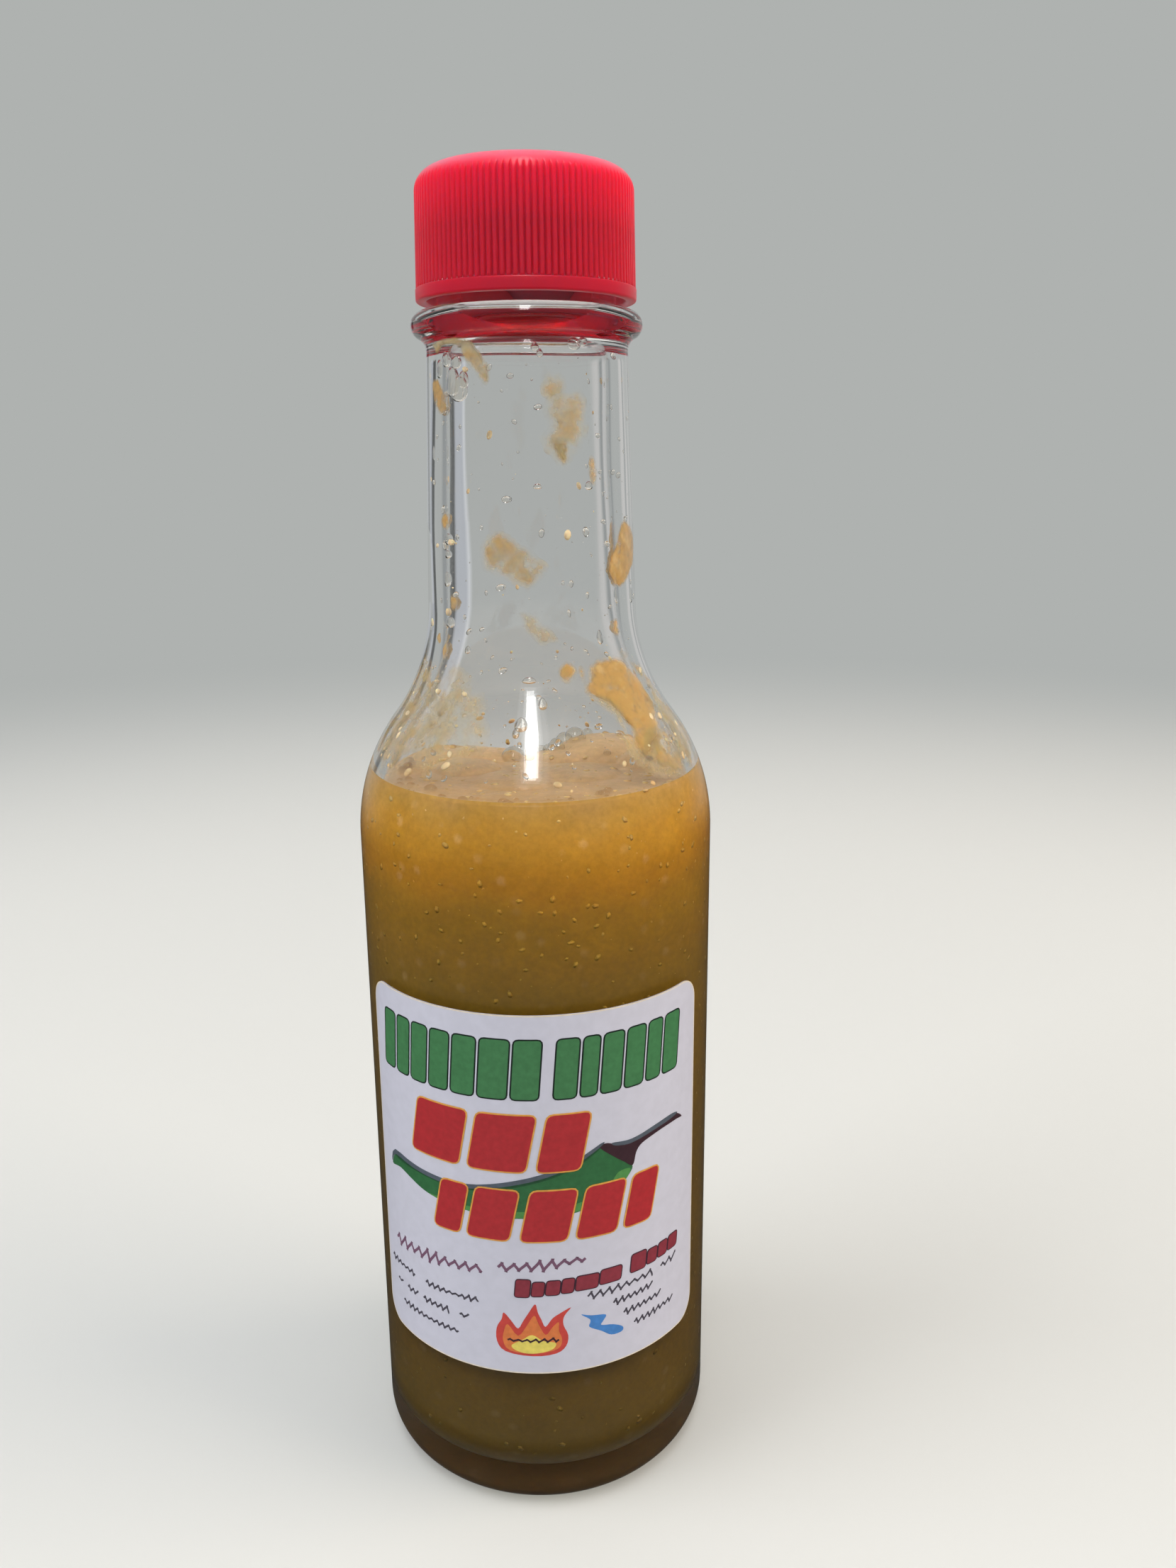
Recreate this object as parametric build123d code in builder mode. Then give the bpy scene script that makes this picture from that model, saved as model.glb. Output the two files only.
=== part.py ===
from build123d import *
from math import acos, atan2, degrees, pi, sqrt
import os

# Small hot sauce bottle with a straight body, an ogee shoulder, a long neck and a ribbed screw cap.
# Millimetres. The origin is the middle of the base, +Z is up and the label faces -Y.

# --- Driving dimensions: glass bottle -------------------------------------------------------------
body_radius = 23.1         # straight body, outside
body_wall = 2.0            # glass thickness of the body
shoulder_height = 89.5     # where the straight body ends and the shoulder starts
crest_radius = 25.2        # convex half of the shoulder, outside
sweep_radius = 23.6        # concave half of the shoulder, outside
neck_foot_radius = 13.15   # neck where it leaves the shoulder, outside
neck_head_radius = 12.2    # neck just under the bead, outside
neck_length = 32.7         # from the top of the shoulder to the middle of the bead
neck_wall = 2.5            # glass thickness of the neck
base_wall = 4.6            # floor of the cavity above the table
heel_radius = 4.6          # outside rounding between base and body
inner_heel_radius = 6.0    # rounding of the cavity's floor
foot_width = 1.6           # width of the flat ring that the bottle stands on
push_up = 1.8              # rise of the hollow under the base

# --- Driving dimensions: neck finish --------------------------------------------------------------
bead_radius = 13.95        # outermost reach of the bead
bead_roll = 1.6            # radius of the bead's rounded edge
bead_fillet = 1.5          # hollow rounding between the neck and the bead
finish_radius = 10.75      # glass cylinder that carries the thread
bore_radius = 8.0          # pouring bore through the finish
finish_height = 14.1       # from the bead's top to the lip
lip_rounding = 0.6
thread_depth = 0.9
thread_foot_width = 2.2    # thread section where it leaves the glass
thread_crest_width = 1.0
thread_pitch = 3.175
thread_turns = 1.25
thread_start = 5.3         # start of the thread above the bead's top

# --- Driving dimensions: screw cap ----------------------------------------------------------------
cap_gap = 1.0              # open strip between the bead and the skirt's rim
cap_clearance = 0.25       # between a thread's crest and the wall that faces it
cap_wall = 1.3             # skirt thickness at its rim
cap_top_wall = 1.4         # disc above the lip
cap_draft = 0.27           # how much the ribbed skirt narrows from its foot to the top
cap_edge_radius = 2.4      # rounding of the top edge
cap_band_height = 1.5      # plain band below the grip ribs
cap_band_reach = 0.08      # how far the band stands proud of the ribs
cap_rim_rounding = 0.3
rib_count = 110
rib_depth = 0.25
groove_share = 0.6         # part of each pitch that the groove between two ribs takes
cap_thread_crest_width = 0.5
cap_thread_foot_width = 1.1

# --- Driving dimensions: contents and label -------------------------------------------------------
sauce_rise = 7.9           # surface of the sauce above the start of the shoulder
label_width = 50.3         # measured round the bottle
label_height = 50.3
label_foot = 22.0          # lower edge of the label above the table
label_thickness = 0.15
label_corner = 3.2


def shoulder_curve(low, high, crest, sweep):
    """Rise and turn of a convex and a concave arc that join two upright lines."""
    reach = high + sweep - (low - crest)
    rise = sqrt((crest + sweep) ** 2 - reach**2)
    return rise, degrees(atan2(rise, reach))


# --- Derived dimensions ---------------------------------------------------------------------------
shoulder_rise = shoulder_curve(body_radius, neck_foot_radius, crest_radius, sweep_radius)[0]
bead_height = shoulder_height + shoulder_rise + neck_length
lip_height = bead_height + bead_roll + finish_height
sauce_level = shoulder_height + sauce_rise
cavity_radius = body_radius - body_wall
neck_bore_foot = neck_foot_radius - neck_wall
neck_bore_head = neck_head_radius - neck_wall
foot_outer = body_radius - heel_radius
foot_inner = foot_outer - foot_width
bead_core = bead_radius - bead_roll
bead_top = bead_height + bead_roll
thread_height = bead_top + thread_start
cap_rim = bead_top + cap_gap
cap_bore = finish_radius + thread_depth + cap_clearance
cap_radius = cap_bore + cap_wall
cap_top = lip_height + cap_top_wall
rib_foot = cap_rim + cap_band_height
rib_foot_radius = cap_radius - cap_band_reach
rib_head_radius = rib_foot_radius - cap_draft
weld = 0.1                 # how far a thread ridge is let into the wall that carries it

# The bead's fillet touches the neck's outside and the bead's roll.
fillet_reach = neck_head_radius + bead_fillet - bead_core
fillet_turn = degrees(acos(fillet_reach / (bead_roll + bead_fillet)))
neck_head = bead_height - sqrt((bead_roll + bead_fillet) ** 2 - fillet_reach**2)


def draw_shoulder(low, high, crest, sweep, head_radius):
    """Add the shoulder's two arcs and the neck's straight side to the open line."""
    rise, turn = shoulder_curve(low, high, crest, sweep)
    taper = degrees(atan2(high - head_radius, neck_head - shoulder_height - rise))
    CenterArc((low - crest, shoulder_height), crest, 0, turn)
    arc = CenterArc((high + sweep, shoulder_height + rise), sweep, 180 + turn, taper - turn)
    Line(arc @ 1, (head_radius, neck_head))


def thread_ridge(radius, height, foot_width, crest_width, depth):
    """A helical ridge on a wall of the given radius; a negative depth points inwards."""
    inset = -weld if depth > 0 else weld
    with BuildPart() as ridge:
        with BuildLine() as helix:
            Helix(thread_pitch, thread_pitch * thread_turns, radius, center=(0, 0, height))
        with BuildSketch(Plane(origin=helix.line @ 0, x_dir=(1, 0, 0), z_dir=helix.line % 0)):
            with BuildLine():
                Polyline((inset, -foot_width / 2), (depth, -crest_width / 2),
                         (depth, crest_width / 2), (inset, foot_width / 2), close=True)
            make_face()
        sweep(path=helix.line, is_frenet=True)
    return ridge.part


# Cavity: the space inside the glass, a tool for the bottle and for the sauce.
with BuildPart() as cavity:
    with BuildSketch(Plane.XZ):
        with BuildLine():
            floor_radius = cavity_radius - inner_heel_radius
            floor_arc_height = base_wall + inner_heel_radius
            Line((0, base_wall), (floor_radius, base_wall))
            CenterArc((floor_radius, floor_arc_height), inner_heel_radius, -90, 90)
            Line((cavity_radius, floor_arc_height), (cavity_radius, shoulder_height))
            draw_shoulder(cavity_radius, neck_bore_foot, crest_radius - body_wall,
                          sweep_radius + neck_wall, neck_bore_head)
            Polyline((neck_bore_head, neck_head), (bore_radius, bead_top), (bore_radius, cap_top),
                     (0, cap_top), (0, base_wall))
        make_face()
    revolve(axis=Axis.Z)

# Bottle: one piece of clear glass from the foot ring to the lip.
glass_thread = thread_ridge(finish_radius, thread_height, thread_foot_width,
                            thread_crest_width, thread_depth)
with BuildPart() as bottle:
    with BuildSketch(Plane.XZ):
        with BuildLine():
            TangentArc((0, push_up), (foot_inner, 0), tangent=(1, 0))
            Line((foot_inner, 0), (foot_outer, 0))
            CenterArc((foot_outer, heel_radius), heel_radius, -90, 90)
            Line((body_radius, heel_radius), (body_radius, shoulder_height))
            draw_shoulder(body_radius, neck_foot_radius, crest_radius, sweep_radius, neck_head_radius)
            CenterArc((neck_head_radius + bead_fillet, neck_head), bead_fillet, 180, -fillet_turn)
            CenterArc((bead_core, bead_height), bead_roll, -fillet_turn, 90 + fillet_turn)
            Polyline((bead_core, bead_top), (finish_radius, bead_top),
                     (finish_radius, lip_height), (0, lip_height), (0, push_up))
        make_face()
    revolve(axis=Axis.Z)
    add(cavity.part, mode=Mode.SUBTRACT)
    fillet(bottle.edges().filter_by(GeomType.CIRCLE).group_by(Axis.Z)[-1], lip_rounding)
    add(glass_thread)
bottle.part.label = "bottle"

# Sauce: one solid that fills the cavity up to its level.
with BuildPart() as sauce:
    add(cavity.part)
    split(bisect_by=Plane.XY.offset(sauce_level), keep=Keep.BOTTOM)
sauce.part.label = "sauce"

# Grip groove: a slanted V that follows the skirt's draft and runs out over the rounded top edge.
groove_pitch = 2 * pi * rib_foot_radius / rib_count
groove_lean = (-cap_draft, 0, cap_top - rib_foot)
with BuildPart() as groove:
    with BuildSketch(Plane(origin=(rib_foot_radius, 0, rib_foot), x_dir=(1, 0, 0),
                           z_dir=groove_lean)):
        with BuildLine():
            Polyline((-rib_depth, 0), (rib_depth, -groove_pitch * groove_share),
                     (rib_depth, groove_pitch * groove_share), close=True)
        make_face()
    extrude(amount=cap_top - rib_foot)

# Cap: screw closure with a plain band, fine grip ribs and a rounded top edge.
cap_thread = thread_ridge(cap_bore, thread_height - thread_pitch / 2, cap_thread_foot_width,
                          cap_thread_crest_width, -thread_depth)
with BuildPart() as cap:
    with BuildSketch(Plane.XZ):
        with BuildLine():
            Polyline((0, cap_top), (0, cap_rim), (cap_radius, cap_rim), (cap_radius, rib_foot),
                     (rib_foot_radius, rib_foot), (rib_head_radius, cap_top), close=True)
        make_face()
    revolve(axis=Axis.Z)
    fillet(cap.edges().filter_by(GeomType.CIRCLE).group_by(Axis.Z)[-1], cap_edge_radius)
    fillet(cap.edges().filter_by(GeomType.CIRCLE).group_by(Axis.Z)[0], cap_rim_rounding)
    with BuildSketch(Plane.XY.offset(cap_rim)):
        Circle(cap_bore)
    extrude(amount=lip_height - cap_rim, mode=Mode.SUBTRACT)
    with PolarLocations(0, rib_count):
        add(groove.part, mode=Mode.SUBTRACT)
    add(cap_thread)
cap.part.label = "cap"

# Label: a rounded square of thin film wrapped round the front of the body. Its corners are rounded
# on a thick blank, which is then cut down to the film's thickness.
label_angle = degrees(label_width / body_radius)
with BuildPart() as label:
    with BuildSketch(Plane.XY.offset(label_foot)):
        with BuildLine():
            back = CenterArc((0, 0), body_radius - label_corner, -90 - label_angle / 2, label_angle)
            front = CenterArc((0, 0), body_radius + label_corner, -90 - label_angle / 2, label_angle)
            Line(back @ 0, front @ 0)
            Line(back @ 1, front @ 1)
        make_face()
    extrude(amount=label_height)
    fillet(label.edges().filter_by(lambda edge: edge.geom_type == GeomType.LINE
                                   and abs((edge % 0).Z) < 0.5), label_corner)
    with BuildSketch(Plane.XY.offset(label_foot)):
        Circle(body_radius + label_thickness)
        Circle(body_radius, mode=Mode.SUBTRACT)
    extrude(amount=label_height, mode=Mode.INTERSECT)
label.part.label = "label"

os.makedirs("parts", exist_ok=True)
export_step(bottle.part, "parts/bottle.step")
export_step(cap.part, "parts/cap.step")
export_step(sauce.part, "parts/sauce.step")
export_step(label.part, "parts/label.step")
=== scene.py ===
"""Looks for a small bottle of pepper sauce: flint glass, a ribbed screw cap and a film label.

Sizes are in millimetres in the classes below and become metres where a mesh is made. The bottle
stands on the middle of its base, +Z is up and the middle of the label faces -Y. Angles round the
bottle are in degrees from -Y towards +X.
"""

import logging
import math
from collections.abc import Callable, Sequence
from dataclasses import dataclass, field
from enum import Enum

import bpy
import numpy as np
from mathutils import Matrix, Vector, noise
from mathutils.geometry import delaunay_2d_cdt

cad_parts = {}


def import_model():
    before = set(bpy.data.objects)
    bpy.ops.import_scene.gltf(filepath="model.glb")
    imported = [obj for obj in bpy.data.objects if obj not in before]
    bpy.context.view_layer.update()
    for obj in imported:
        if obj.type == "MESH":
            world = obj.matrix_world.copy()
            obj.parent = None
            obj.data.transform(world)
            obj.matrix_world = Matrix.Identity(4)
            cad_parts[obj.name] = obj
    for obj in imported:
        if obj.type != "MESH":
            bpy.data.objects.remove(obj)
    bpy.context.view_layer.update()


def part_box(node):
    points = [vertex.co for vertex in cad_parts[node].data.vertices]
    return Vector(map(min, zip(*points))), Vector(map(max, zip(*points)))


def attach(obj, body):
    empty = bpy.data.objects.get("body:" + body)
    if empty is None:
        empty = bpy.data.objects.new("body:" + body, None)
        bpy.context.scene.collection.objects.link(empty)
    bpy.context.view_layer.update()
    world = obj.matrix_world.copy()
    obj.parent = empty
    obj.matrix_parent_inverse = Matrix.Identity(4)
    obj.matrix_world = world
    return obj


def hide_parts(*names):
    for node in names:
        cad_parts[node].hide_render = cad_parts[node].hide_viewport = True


MM = 0.001
LOG = logging.getLogger("pepper_sauce_bottle")
Point2 = tuple[float, float]
Profile = list[Point2]


# --- Small tools ---


def linear(colour: str) -> tuple[float, float, float, float]:
    """Turn an sRGB hex colour into linear red, green, blue and alpha.

    Args:
        colour: Six hex digits after a hash.

    Returns:
        Four linear channels, alpha 1.
    """
    shares = [int(colour[i:i + 2], 16) / 255 for i in (1, 3, 5)]
    red, green, blue = (s / 12.92 if s <= 0.04045 else ((s + 0.055) / 1.055) ** 2.4 for s in shares)
    return red, green, blue, 1.0


def add_node(tree: bpy.types.NodeTree, kind: str, inputs: dict | None = None,
        stops: Sequence[tuple[float, str]] = (), **settings: object) -> bpy.types.NodeOutputs:
    """Add a node with its settings, input values and links.

    Args:
        tree: The tree that gets the node.
        kind: The node's type.
        inputs: Value or output socket for each input, by its name or number.
        stops: Place and hex colour of each stop of a colour ramp.
        **settings: Properties of the node.

    Returns:
        The new node's outputs.
    """
    node = tree.nodes.new(kind)
    for name, value in settings.items():
        setattr(node, name, value)
    for key, value in (inputs or {}).items():
        if isinstance(value, bpy.types.NodeSocket):
            tree.links.new(value, node.inputs[key])
        else:
            node.inputs[key].default_value = value
    for number, (place, colour) in enumerate(stops):
        elements = node.color_ramp.elements
        element = elements[number] if number < 2 else elements.new(place)
        element.position, element.color = place, linear(colour)
    return node.outputs


def new_material(name: str, sockets: dict) -> tuple[bpy.types.Material, bpy.types.NodeTree, bpy.types.Node]:
    """Make a material with one Principled shader.

    Args:
        name: The material's name.
        sockets: Values of the shader's inputs by name.

    Returns:
        The material, its node tree and its shader node.
    """
    material = bpy.data.materials.new(name)
    material.use_nodes = True
    tree = material.node_tree
    shader = tree.nodes["Principled BSDF"]
    for key, value in sockets.items():
        shader.inputs[key].default_value = value
    return material, tree, shader


def mesh_object(name: str, points: np.ndarray, faces: Sequence[Sequence[int]],
        material: bpy.types.Material, smooth: bool = True) -> bpy.types.Object:
    """Make a mesh object at the origin.

    Args:
        name: The object's name.
        points: Vertices in metres, one row each.
        faces: Vertex numbers of each face.
        material: Its only material.
        smooth: Whether the faces are shaded smooth.

    Returns:
        The object, linked to the scene.
    """
    mesh = bpy.data.meshes.new(name)
    mesh.from_pydata(np.asarray(points, float).tolist(), [], [tuple(map(int, f)) for f in faces])
    mesh.polygons.foreach_set("use_smooth", [smooth] * len(mesh.polygons))
    mesh.materials.append(material)
    mesh.validate()
    obj = bpy.data.objects.new(name, mesh)
    bpy.context.scene.collection.objects.link(obj)
    return obj


def arc(centre: Point2, radius: float, start: float, turn: float, steps: int) -> Profile:
    """Points along an arc in the radius-height plane, both ends included."""
    angles = np.radians(np.linspace(start, start + turn, steps + 1))
    return [(centre[0] + radius * math.cos(a), centre[1] + radius * math.sin(a)) for a in angles]


def run(start: Point2, end: Point2, spacing: float) -> Profile:
    """Points along a straight run, both ends included, no further apart than the spacing."""
    count = max(1, math.ceil(math.dist(start, end) / spacing))
    return [(start[0] + (end[0] - start[0]) * i / count, start[1] + (end[1] - start[1]) * i / count)
        for i in range(count + 1)]


def joined(*runs: Profile) -> Profile:
    """Several runs of a profile as one, without the points that they share."""
    profile: Profile = []
    for points in runs:
        for point in points:
            if not profile or math.dist(profile[-1], point) > 1e-4:
                profile.append(point)
    return profile


def bridge(rows: Sequence[Sequence[int]], closed: bool = True) -> list[list[int]]:
    """Faces between neighbouring rows of vertices.

    Args:
        rows: Vertex numbers of each row; a row at a pole repeats one number.
        closed: Whether each row's ends meet.

    Returns:
        Vertex numbers of each face.
    """
    faces = []
    for low, high in zip(rows, rows[1:]):
        for i in range(len(low) if closed else len(low) - 1):
            j = (i + 1) % len(low)
            face = [low[i], low[j], high[j], high[i]]
            faces.append([v for n, v in enumerate(face) if v not in face[:n]])
    return faces


def through(rings: Sequence[np.ndarray]) -> tuple[np.ndarray, list[list[int]]]:
    """A surface through rings of points.

    Args:
        rings: Points of each ring, one row each; a pole is a ring with one point.

    Returns:
        Points and faces of the surface.
    """
    starts = np.cumsum([0, *(len(ring) for ring in rings)])
    around_ring = np.arange(max(len(ring) for ring in rings))
    rows = [start + around_ring % len(ring) for start, ring in zip(starts, rings)]
    return np.concatenate(rings), bridge(rows)


def ring(angles: np.ndarray, radius: np.ndarray | float, height: np.ndarray | float) -> np.ndarray:
    """Points round the axis at angles in radians from +X."""
    return np.stack([radius * np.cos(angles), radius * np.sin(angles), height + 0 * angles], 1)


def set_layer(obj: bpy.types.Object, name: str, values: Sequence[float]) -> None:
    """Give each of an object's vertices a value that materials and node trees can read."""
    obj.data.attributes.new(name, "FLOAT", "POINT").data.foreach_set("value", values)


def lathe(name: str, profile: Profile, segments: int, material: bpy.types.Material,
        shift: Callable[[np.ndarray, float, float, int], np.ndarray] | None = None) -> bpy.types.Object:
    """Turn a profile about the bottle's axis; the faces look to the right of the way it runs.

    Args:
        name: The object's name.
        profile: Radius and height in millimetres; the mesh is closed if both ends lie on the axis.
        segments: Faces round the axis.
        material: The material.
        shift: Radius to add, from the angles, a point's radius and height and its number.

    Returns:
        The turned object.
    """
    angles = np.linspace(0, 2 * math.pi, segments, endpoint=False)
    rings: list[np.ndarray] = []
    for number, (radius, height) in enumerate(profile):
        if radius < 1e-4:
            rings.append(np.array([[0.0, 0.0, height]]))
            continue
        radii = np.full(segments, radius)
        if shift:
            radii = radii + shift(angles, radius, height, number)
        rings.append(ring(angles, radii, height))
    points, faces = through(rings)
    return mesh_object(name, points * MM, faces, material)


def around(angle: np.ndarray, radius: np.ndarray, height: np.ndarray) -> np.ndarray:
    """Points in millimetres at angles in degrees from -Y towards +X."""
    turn = np.radians(angle)
    return np.stack([radius * np.sin(turn), -radius * np.cos(turn), height + 0 * turn], -1)


def smooth_loop(points: Sequence[Point2], steps: int) -> np.ndarray:
    """A closed Catmull-Rom curve through the points.

    Args:
        points: The points that the curve passes through.
        steps: Points on each span.

    Returns:
        One row for each point of the curve.
    """
    p = np.array(points, float)
    before, after, later = np.roll(p, 1, 0), np.roll(p, -1, 0), np.roll(p, -2, 0)
    rows = []
    for t in np.arange(steps) / steps:
        rows.append(0.5 * (2 * p + (after - before) * t + (2 * before - 5 * p + 4 * after - later) * t**2
            + (3 * p - before - 3 * after + later) * t**3))
    return np.stack(rows, 1).reshape(-1, 2)


def inside(points: np.ndarray, outline: np.ndarray) -> np.ndarray:
    """Which of the points lie inside a closed outline."""
    x, y = points[:, :1], points[:, 1:]
    a, b = outline, np.roll(outline, -1, 0)
    crosses = (a[:, 1] > y) != (b[:, 1] > y)
    rise = np.where(np.abs(b[:, 1] - a[:, 1]) < 1e-12, 1e-12, b[:, 1] - a[:, 1])
    at = a[:, 0] + (y - a[:, 1]) / rise * (b[:, 0] - a[:, 0])
    return (crosses & (x < at)).sum(1) % 2 == 1


def edge_distance(points: np.ndarray, outline: np.ndarray) -> np.ndarray:
    """Distance of each point from the nearest edge of a closed outline."""
    a, b = outline, np.roll(outline, -1, 0)
    span = b - a
    length = np.maximum((span**2).sum(1), 1e-12)
    offset = points[:, None, :] - a[None]
    share = np.clip((offset * span).sum(2) / length, 0, 1)
    return np.sqrt(((offset - share[..., None] * span) ** 2).sum(2).min(1))


@dataclass
class Patch:
    """A flat outline cut into small triangles, ready to be bent round the bottle."""

    flat: np.ndarray
    faces: list[tuple[int, ...]]
    depth: np.ndarray

    @classmethod
    def fill(cls, outline: np.ndarray, spacing: float) -> "Patch":
        """Fill a closed outline with triangles.

        Args:
            outline: Its corners in order, in millimetres.
            spacing: Longest edge on the outline and the distance between inner points.

        Returns:
            The filled patch; depth is each point's distance from the edge.
        """
        area = np.cross(outline, np.roll(outline, -1, 0)).sum()
        loop = outline if area > 0 else outline[::-1]
        edge: list[Point2] = []
        for start, end in zip(loop, np.roll(loop, -1, 0)):
            edge.extend(run(tuple(start), tuple(end), spacing)[:-1])
        border = np.array(edge)
        low, high = border.min(0), border.max(0)
        xs = np.arange(low[0] + spacing / 2, high[0], spacing)
        ys = np.arange(low[1] + spacing / 2, high[1], spacing * 0.87)
        grid = np.array([(x + (row % 2) * spacing / 2, y) for row, y in enumerate(ys) for x in xs])
        grid = grid.reshape(-1, 2)
        if len(grid):
            grid = grid[inside(grid, border)]
        if len(grid):
            grid = grid[edge_distance(grid, border) > spacing * 0.4]
        given = [Vector(p) for p in np.concatenate([border, grid.reshape(-1, 2)])]
        verts, _, faces, *_ = delaunay_2d_cdt(given, [], [list(range(len(border)))], 1, 1e-7)
        flat = np.array([tuple(v) for v in verts])
        turned = []
        for face in faces:
            a, b, c = (flat[i] for i in face[:3])
            turned.append(tuple(face) if np.cross(b - a, c - a) > 0 else tuple(face)[::-1])
        return cls(flat, turned, edge_distance(flat, border))

    def solid(self, top: np.ndarray, bottom: np.ndarray) -> tuple[np.ndarray, list[tuple[int, ...]]]:
        """Join a top and a bottom skin along the edge into one closed shell.

        Args:
            top: Place of each point on the side that the triangles face.
            bottom: Place of each point on the other side.

        Returns:
            Points and faces of the shell.
        """
        count = len(self.flat)
        edges = {(f[i], f[(i + 1) % len(f)]) for f in self.faces for i in range(len(f))}
        sides = [(a + count, b + count, b, a) for a, b in edges if (b, a) not in edges]
        under = [tuple(i + count for i in face[::-1]) for face in self.faces]
        return np.concatenate([top, bottom]), [*self.faces, *under, *sides]


@dataclass
class Shells:
    """Closed shells that are gathered into one piece."""

    points: list[np.ndarray] = field(default_factory=list)
    faces: list[tuple[int, ...]] = field(default_factory=list)

    def add(self, points: np.ndarray, faces: Sequence[Sequence[int]]) -> None:
        """Add one shell, in millimetres."""
        first = sum(len(p) for p in self.points)
        self.points.append(points)
        self.faces.extend(tuple(i + first for i in face) for face in faces)

    def build(self, name: str, material: bpy.types.Material) -> bpy.types.Object:
        """Make the piece."""
        return mesh_object(name, np.concatenate(self.points) * MM, self.faces, material)


def ball(steps: int) -> tuple[np.ndarray, list[list[int]]]:
    """A closed ball of radius 1 with its poles on the third axis.

    Args:
        steps: Rings between the poles; there are twice as many faces round it.

    Returns:
        Points and faces, outwards.
    """
    turns = math.pi * np.arange(2 * steps) / steps
    rings = [np.array([[0.0, 0.0, -1.0]])]
    for lift in math.pi * np.arange(1, steps) / steps - math.pi / 2:
        rings.append(ring(turns, math.cos(lift), math.sin(lift)))
    return through([*rings, np.array([[0.0, 0.0, 1.0]])])


def seat(piece: bpy.types.Object, slot: str, *nodes: str) -> bpy.types.Object:
    """Let a finished piece ride on the root body and hide the model's parts that it stands for."""
    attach(piece, "root")
    if nodes:
        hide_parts(*nodes)
    LOG.info("%s: %d faces", piece.name, len(piece.data.polygons))
    return piece


# --- Geometry node trees ---


@dataclass
class NodeTool:
    """A geometry node tree with named inputs that is run once on a mesh."""

    name: str
    values: dict[str, float | int]
    material: bpy.types.Material

    def start(self) -> tuple[bpy.types.NodeTree, bpy.types.Node]:
        """Make the tree with its geometry socket and one named input for each value."""
        tree = bpy.data.node_groups.new(self.name, "GeometryNodeTree")
        tree.interface.new_socket("Geometry", in_out="INPUT", socket_type="NodeSocketGeometry")
        tree.interface.new_socket("Geometry", in_out="OUTPUT", socket_type="NodeSocketGeometry")
        for name, value in self.values.items():
            kind = "NodeSocketInt" if isinstance(value, int) else "NodeSocketFloat"
            tree.interface.new_socket(name, in_out="INPUT", socket_type=kind)
        return tree, add_node(tree, "NodeGroupInput")

    def end(self, tree: bpy.types.NodeTree, instances: bpy.types.NodeSocket, weld: float = 0.0) -> None:
        """Close the tree: real geometry, welded where copies meet, with its material.

        Args:
            tree: The tree.
            instances: The socket that gives the copies.
            weld: Distance in metres within which points become one.
        """
        real = add_node(tree, "GeometryNodeRealizeInstances", {"Geometry": instances})
        whole = real
        if weld:
            whole = add_node(tree, "GeometryNodeMergeByDistance", {"Geometry": real[0], "Distance": weld})
        dressed = add_node(tree, "GeometryNodeSetMaterial",
            {"Geometry": whole[0], "Material": self.material})
        add_node(tree, "NodeGroupOutput", {"Geometry": dressed[0]})

    def apply(self, obj: bpy.types.Object, tree: bpy.types.NodeTree) -> bpy.types.Object:
        """Run the tree on an object and keep the result as its plain mesh.

        Args:
            obj: The object whose mesh the tree starts from.
            tree: The finished tree.

        Returns:
            The same object with the new mesh and no modifier.
        """
        modifier = obj.modifiers.new(self.name, "NODES")
        modifier.node_group = tree
        for item in tree.interface.items_tree:
            if item.item_type == "SOCKET" and item.in_out == "INPUT" and item.name in self.values:
                modifier[item.identifier] = self.values[item.name]
        obj.update_tag()
        graph = bpy.context.evaluated_depsgraph_get()
        mesh = bpy.data.meshes.new_from_object(obj.evaluated_get(graph), depsgraph=graph)
        obj.modifiers.remove(modifier)
        obj.data = mesh
        mesh.polygons.foreach_set("use_smooth", [True] * len(mesh.polygons))
        return obj


@dataclass
class TurnedCopies(NodeTool):
    """Copies of a mesh turned about the bottle's axis at even steps."""

    def run(self, obj: bpy.types.Object) -> bpy.types.Object:
        """Repeat the object's mesh Count times round the axis."""
        tree, given = self.start()
        points = add_node(tree, "GeometryNodePoints", {"Count": given["Count"]})
        index = add_node(tree, "GeometryNodeInputIndex")
        step = add_node(tree, "ShaderNodeMath", {0: 2 * math.pi, 1: given["Count"]}, operation="DIVIDE")
        turn = add_node(tree, "ShaderNodeMath", {0: index[0], 1: step[0]}, operation="MULTIPLY")
        euler = add_node(tree, "ShaderNodeCombineXYZ", {"Z": turn[0]})
        rotation = add_node(tree, "FunctionNodeEulerToRotation", {0: euler[0]})
        copies = add_node(tree, "GeometryNodeInstanceOnPoints",
            {"Points": points[0], "Instance": given["Geometry"], "Rotation": rotation[0]})
        self.end(tree, copies[0], 1e-6)
        return self.apply(obj, tree)


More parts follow.
